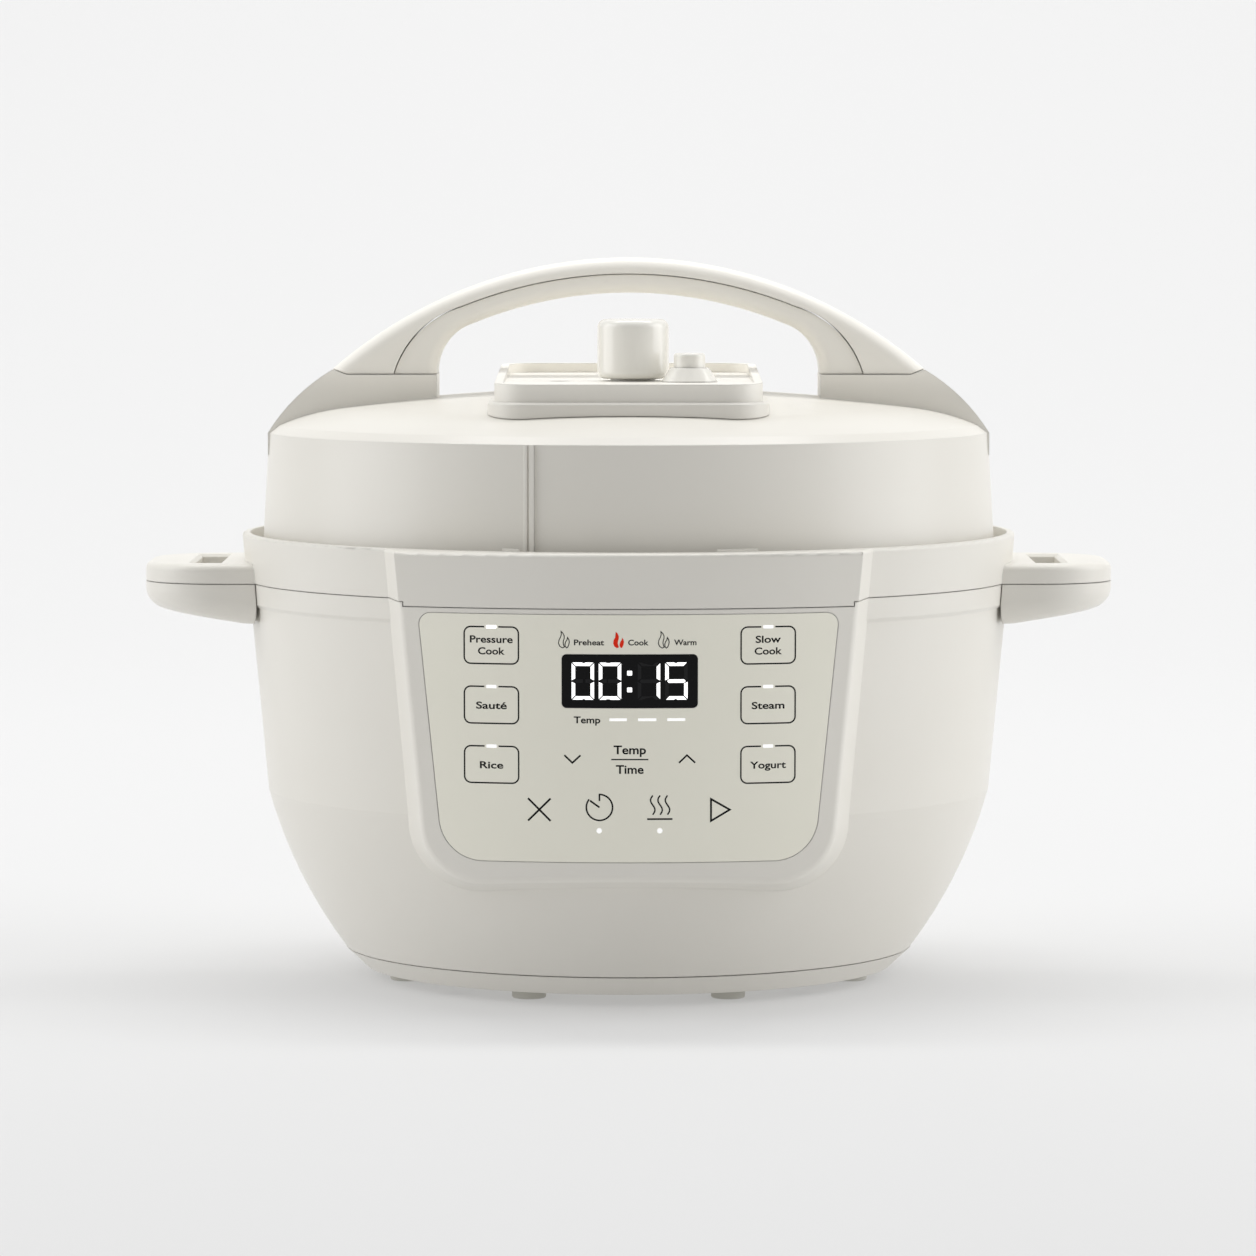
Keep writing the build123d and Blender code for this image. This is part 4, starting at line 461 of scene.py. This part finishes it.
marks = {
    "flames": {"across": (-21.9, 11.9), "red": -3.4, "foot": 128.7, "high": 5.6, "line": 0.3},
    "less": {"path": ((-21.8, 92.1), (-19.1, 89.5), (-16.3, 92.1)), "line": 0.58},
    "more": {"path": ((17.1, 89.5), (19.8, 92.1), (22.6, 89.5)), "line": 0.58},
    "betweenTempAndTime": {"path": ((-5.9, 90.7), (6.7, 90.7)), "line": 0.42},
    "cancelDown": {"path": ((-34.2, 77.2), (-26.5, 69.5)), "line": 0.66},
    "cancelUp": {"path": ((-34.2, 69.5), (-26.5, 77.2)), "line": 0.66},
    "timerHand": {"path": ((-9.9, 74.3), (-13.1, 76.6)), "line": 0.6},
    "timerTop": {"path": ((-9.9, 79.0), (-9.9, 76.5)), "line": 0.55},
    "timerRing": {"x": -9.9, "z": 74.3, "r": 4.45, "from": 90, "to": -218, "steps": 40, "line": 0.55},
    "warmPlate": {"path": ((6.3, 70.3), (14.9, 70.3)), "line": 0.58},
    "steam": {"across": (8.2, 10.7, 13.2), "foot": 71.8, "high": 6.6, "sway": 0.75, "steps": 14, "line": 0.5},
    "start": {"path": ((28.0, 77.0), (28.0, 69.5), (34.4, 73.25)), "line": 0.66, "closed": True},
}


def drawMarks():
    flames, ring, steam = marks["flames"], marks["timerRing"], marks["steam"]
    faces = []
    for x in flames["across"]:
        for outline in flame(x, flames["foot"], flames["high"]):
            faces += stroke(outline, flames["line"], closed=True)
    for mark in marks.values():
        if "path" in mark:
            faces += stroke(mark["path"], mark["line"], closed=mark.get("closed", False))
    timer = arc(ring["x"], ring["z"], ring["r"], ring["from"], ring["to"], ring["steps"])
    faces += stroke(timer, ring["line"])
    for x in steam["across"]:
        wave = [(x + steam["sway"] * math.sin(2 * math.pi * k / steam["steps"]),
                 steam["foot"] + steam["high"] * k / steam["steps"]) for k in range(steam["steps"] + 1)]
        faces += stroke(wave, steam["line"])
    return faces


# round lamps under the timer, and dashes that join the three stages under the display
stageLamps = {"round": (-10.0, 10.6), "roundZ": 66.3, "roundR": 0.9,
              "dashes": ((-6.5, -0.6), (3.2, 9.4), (13.1, 19.2)), "dashZ": 104.3, "dashLine": 0.95}
for x in stageLamps["round"]:
    lampFaces.append(arc(x, stageLamps["roundZ"], stageLamps["roundR"], 0, 345, 23))
for low, high in stageLamps["dashes"]:
    z = stageLamps["dashZ"]
    lampFaces += stroke([(low, z), (high, z)], stageLamps["dashLine"])
redFlame = flame(marks["flames"]["red"], marks["flames"]["foot"], marks["flames"]["high"])

printOn("panelKeyFrames", keyFaces, film, ink, panel["proud"])
printOn("panelWords", wordFaces, film, ink, panel["proud"])
printOn("panelIcons", drawMarks(), film, ink, panel["proud"])
printOn("panelFlame", redFlame, film, redInk, panel["proud"])
# the unlit lamps carry a painted glow
printOn("panelLamps", lampFaces, film, paintedGlowLamp, panel["proud"])
printOn("panelLampLit", litFaces, film, lampOn, panel["proud"])


# millimetres, as on the panel
digits = {
    "shown": "0015", "left": (-19.3, -10.1, 3.1, 12.4), "low": 111.1, "wide": 7.6, "high": 12.7,
    "thick": 1.2, "cut": 0.26, "dotX": 0.35, "dotZ": (114.5, 120.2), "dotWide": 1.7, "dotHigh": 1.6,
    "dotRound": 0.2, "onProud": 0.03, "offProud": 0.02,
}


def digitBars(x):
    # the seven bars of one digit: a at the top, then b to f clockwise, and g across the middle
    low, wide, high = digits["low"], digits["wide"], digits["high"]
    thick, cut, half = digits["thick"], digits["cut"], digits["high"] / 2
    top, right = low + high, x + wide
    bars = {
        "a": ((x + cut, top), (right - cut, top), (right - thick - cut, top - thick),
              (x + thick + cut, top - thick)),
        "d": ((x + thick + cut, low + thick), (right - thick - cut, low + thick), (right - cut, low),
              (x + cut, low)),
        "g": ((x + thick * 0.55, low + half), (x + thick, low + half + thick / 2),
              (right - thick, low + half + thick / 2), (right - thick * 0.55, low + half),
              (right - thick, low + half - thick / 2), (x + thick, low + half - thick / 2)),
    }
    for key, outer, inner, upper in (("f", x, x + thick, True), ("e", x, x + thick, False),
                                     ("b", right, right - thick, True), ("c", right, right - thick, False)):
        foot = low + half if upper else low
        head = foot + half
        footTrim, headTrim = (thick / 2, thick) if upper else (thick, thick / 2)
        bars[key] = ((outer, foot + cut), (outer, head - cut), (inner, head - headTrim - cut),
                     (inner, foot + footTrim + cut))
    return bars


def drawDigits():
    barsOf = {"0": "abcdef", "1": "bc", "5": "acdfg"}
    on, off = [], []
    for x, figure in zip(digits["left"], digits["shown"]):
        for key, bar in digitBars(x).items():
            (on if key in barsOf[figure] else off).append(bar)
    for z in digits["dotZ"]:
        on.append(roundedBox(digits["dotX"], z, digits["dotWide"], digits["dotHigh"], digits["dotRound"], 2))
    return on, off


on, off = drawDigits()
printOn("displayDigits", on, lens, digitOn, digits["onProud"])
printOn("displayDigitsUnlit", off, lens, digitOff, digits["offProud"])
print("display digits made")


backdrop = {
    "near": -8.0, "step": -2.0, "start": 1.4, "rise": 1.6, "tall": 5.0, "half": 6.0,  # metres
    "colour": (0.45, 0.45, 0.45), "shade": (0.44, 0.44, 0.44), "rough": 0.9, "glow": 0.30,
}


def sweep():
    # a floor that rises into a backdrop
    rise, start, half = backdrop["rise"], backdrop["start"], backdrop["half"]
    profile = [(backdrop["near"], 0.0), (backdrop["step"], 0.0), (start, 0.0)]
    for degrees in range(6, 91, 6):
        turn = math.radians(degrees)
        profile.append((start + rise * math.sin(turn), rise - rise * math.cos(turn)))
    profile.append((start + rise, backdrop["tall"]))
    verts = [(x, y, z) for y, z in profile for x in (-half, half)]
    faces = [(2 * i, 2 * i + 1, 2 * i + 3, 2 * i + 2) for i in range(len(profile) - 1)]
    data = bpy.data.meshes.new("sweep")
    data.from_pydata(verts, [], faces)
    data.polygons.foreach_set("use_smooth", [True] * len(data.polygons))
    floor = bpy.data.objects.new("sweep", data)
    bpy.context.scene.collection.objects.link(floor)
    paint = Paint("sweep")
    cloud = paint.noise(0.8, 2.0)
    tone = paint.mix(cloud, backdrop["colour"], backdrop["shade"])
    data.materials.append(paint.finish({
        "Base Color": tone, "Roughness": backdrop["rough"] + (cloud - 0.5) * 0.05, "Specular IOR Level": 0.1,
        "Emission Color": (1.0, 1.0, 1.0, 1.0), "Emission Strength": backdrop["glow"]}))


studio = {
    "sky": 0.58, "front": 0.24,  # brightness of the room at the sides and above, and behind the viewer
    "frontEnds": -0.95, "skyStarts": -0.2,  # how far forward a direction points, from -1 to 1
    # name: place, aim, width, height, power in watts
    "lights": {
        "leftBox": ((-1.9, -0.1, 0.9), (0, 0, 0.12), 1.6, 1.8, 17.0),
        "rightBox": ((1.9, -0.1, 0.9), (0, 0, 0.12), 1.6, 1.8, 20.0),
        "topBox": ((0.0, -0.3, 2.0), (0, 0, 0.2), 1.6, 1.2, 3.5),
        "backWash": ((0.0, 0.9, 3.2), (0, 3.0, 0.6), 3.5, 1.0, 84.0),
    },
}


def lighting():
    room = Paint("studio", bpy.data.worlds, "Generated")
    bpy.context.scene.world = room.holder
    strength = room.node("ShaderNodeMapRange", None, {
        "Value": room.along("Y"), "From Min": studio["frontEnds"], "From Max": studio["skyStarts"],
        "To Min": studio["front"], "To Max": studio["sky"]})
    glow = room.node("ShaderNodeBackground", None, {"Color": (1.0, 1.0, 1.0, 1.0), "Strength": strength})
    room.node("ShaderNodeOutputWorld", None, {"Surface": glow})
    for name, (place, aim, width, height, power) in studio["lights"].items():
        data = bpy.data.lights.new(name, "AREA")
        data.shape = "RECTANGLE"
        data.size = width
        data.size_y = height
        data.energy = power
        lamp = bpy.data.objects.new(name, data)
        lamp.location = place
        lamp.rotation_euler = (Vector(aim) - Vector(place)).to_track_quat("-Z", "Y").to_euler()
        bpy.context.scene.collection.objects.link(lamp)


view = {"place": (-0.0002, -2.2, 0.282), "down": 4.077, "lens": 174.5, "sensor": 36.0,
        "nearest": 0.05, "farthest": 50.0}


def viewpoint():
    data = bpy.data.cameras.new("camera")
    data.sensor_width = view["sensor"]
    data.lens = view["lens"]
    data.clip_start = view["nearest"]
    data.clip_end = view["farthest"]
    camera = bpy.data.objects.new("camera", data)
    camera.location = view["place"]
    camera.rotation_euler = (math.radians(90 - view["down"]), 0, 0)
    bpy.context.scene.collection.objects.link(camera)
    bpy.context.scene.camera = camera


sweep()
lighting()
viewpoint()
bpy.context.scene.view_settings.view_transform = "Standard"
print("studio ready")
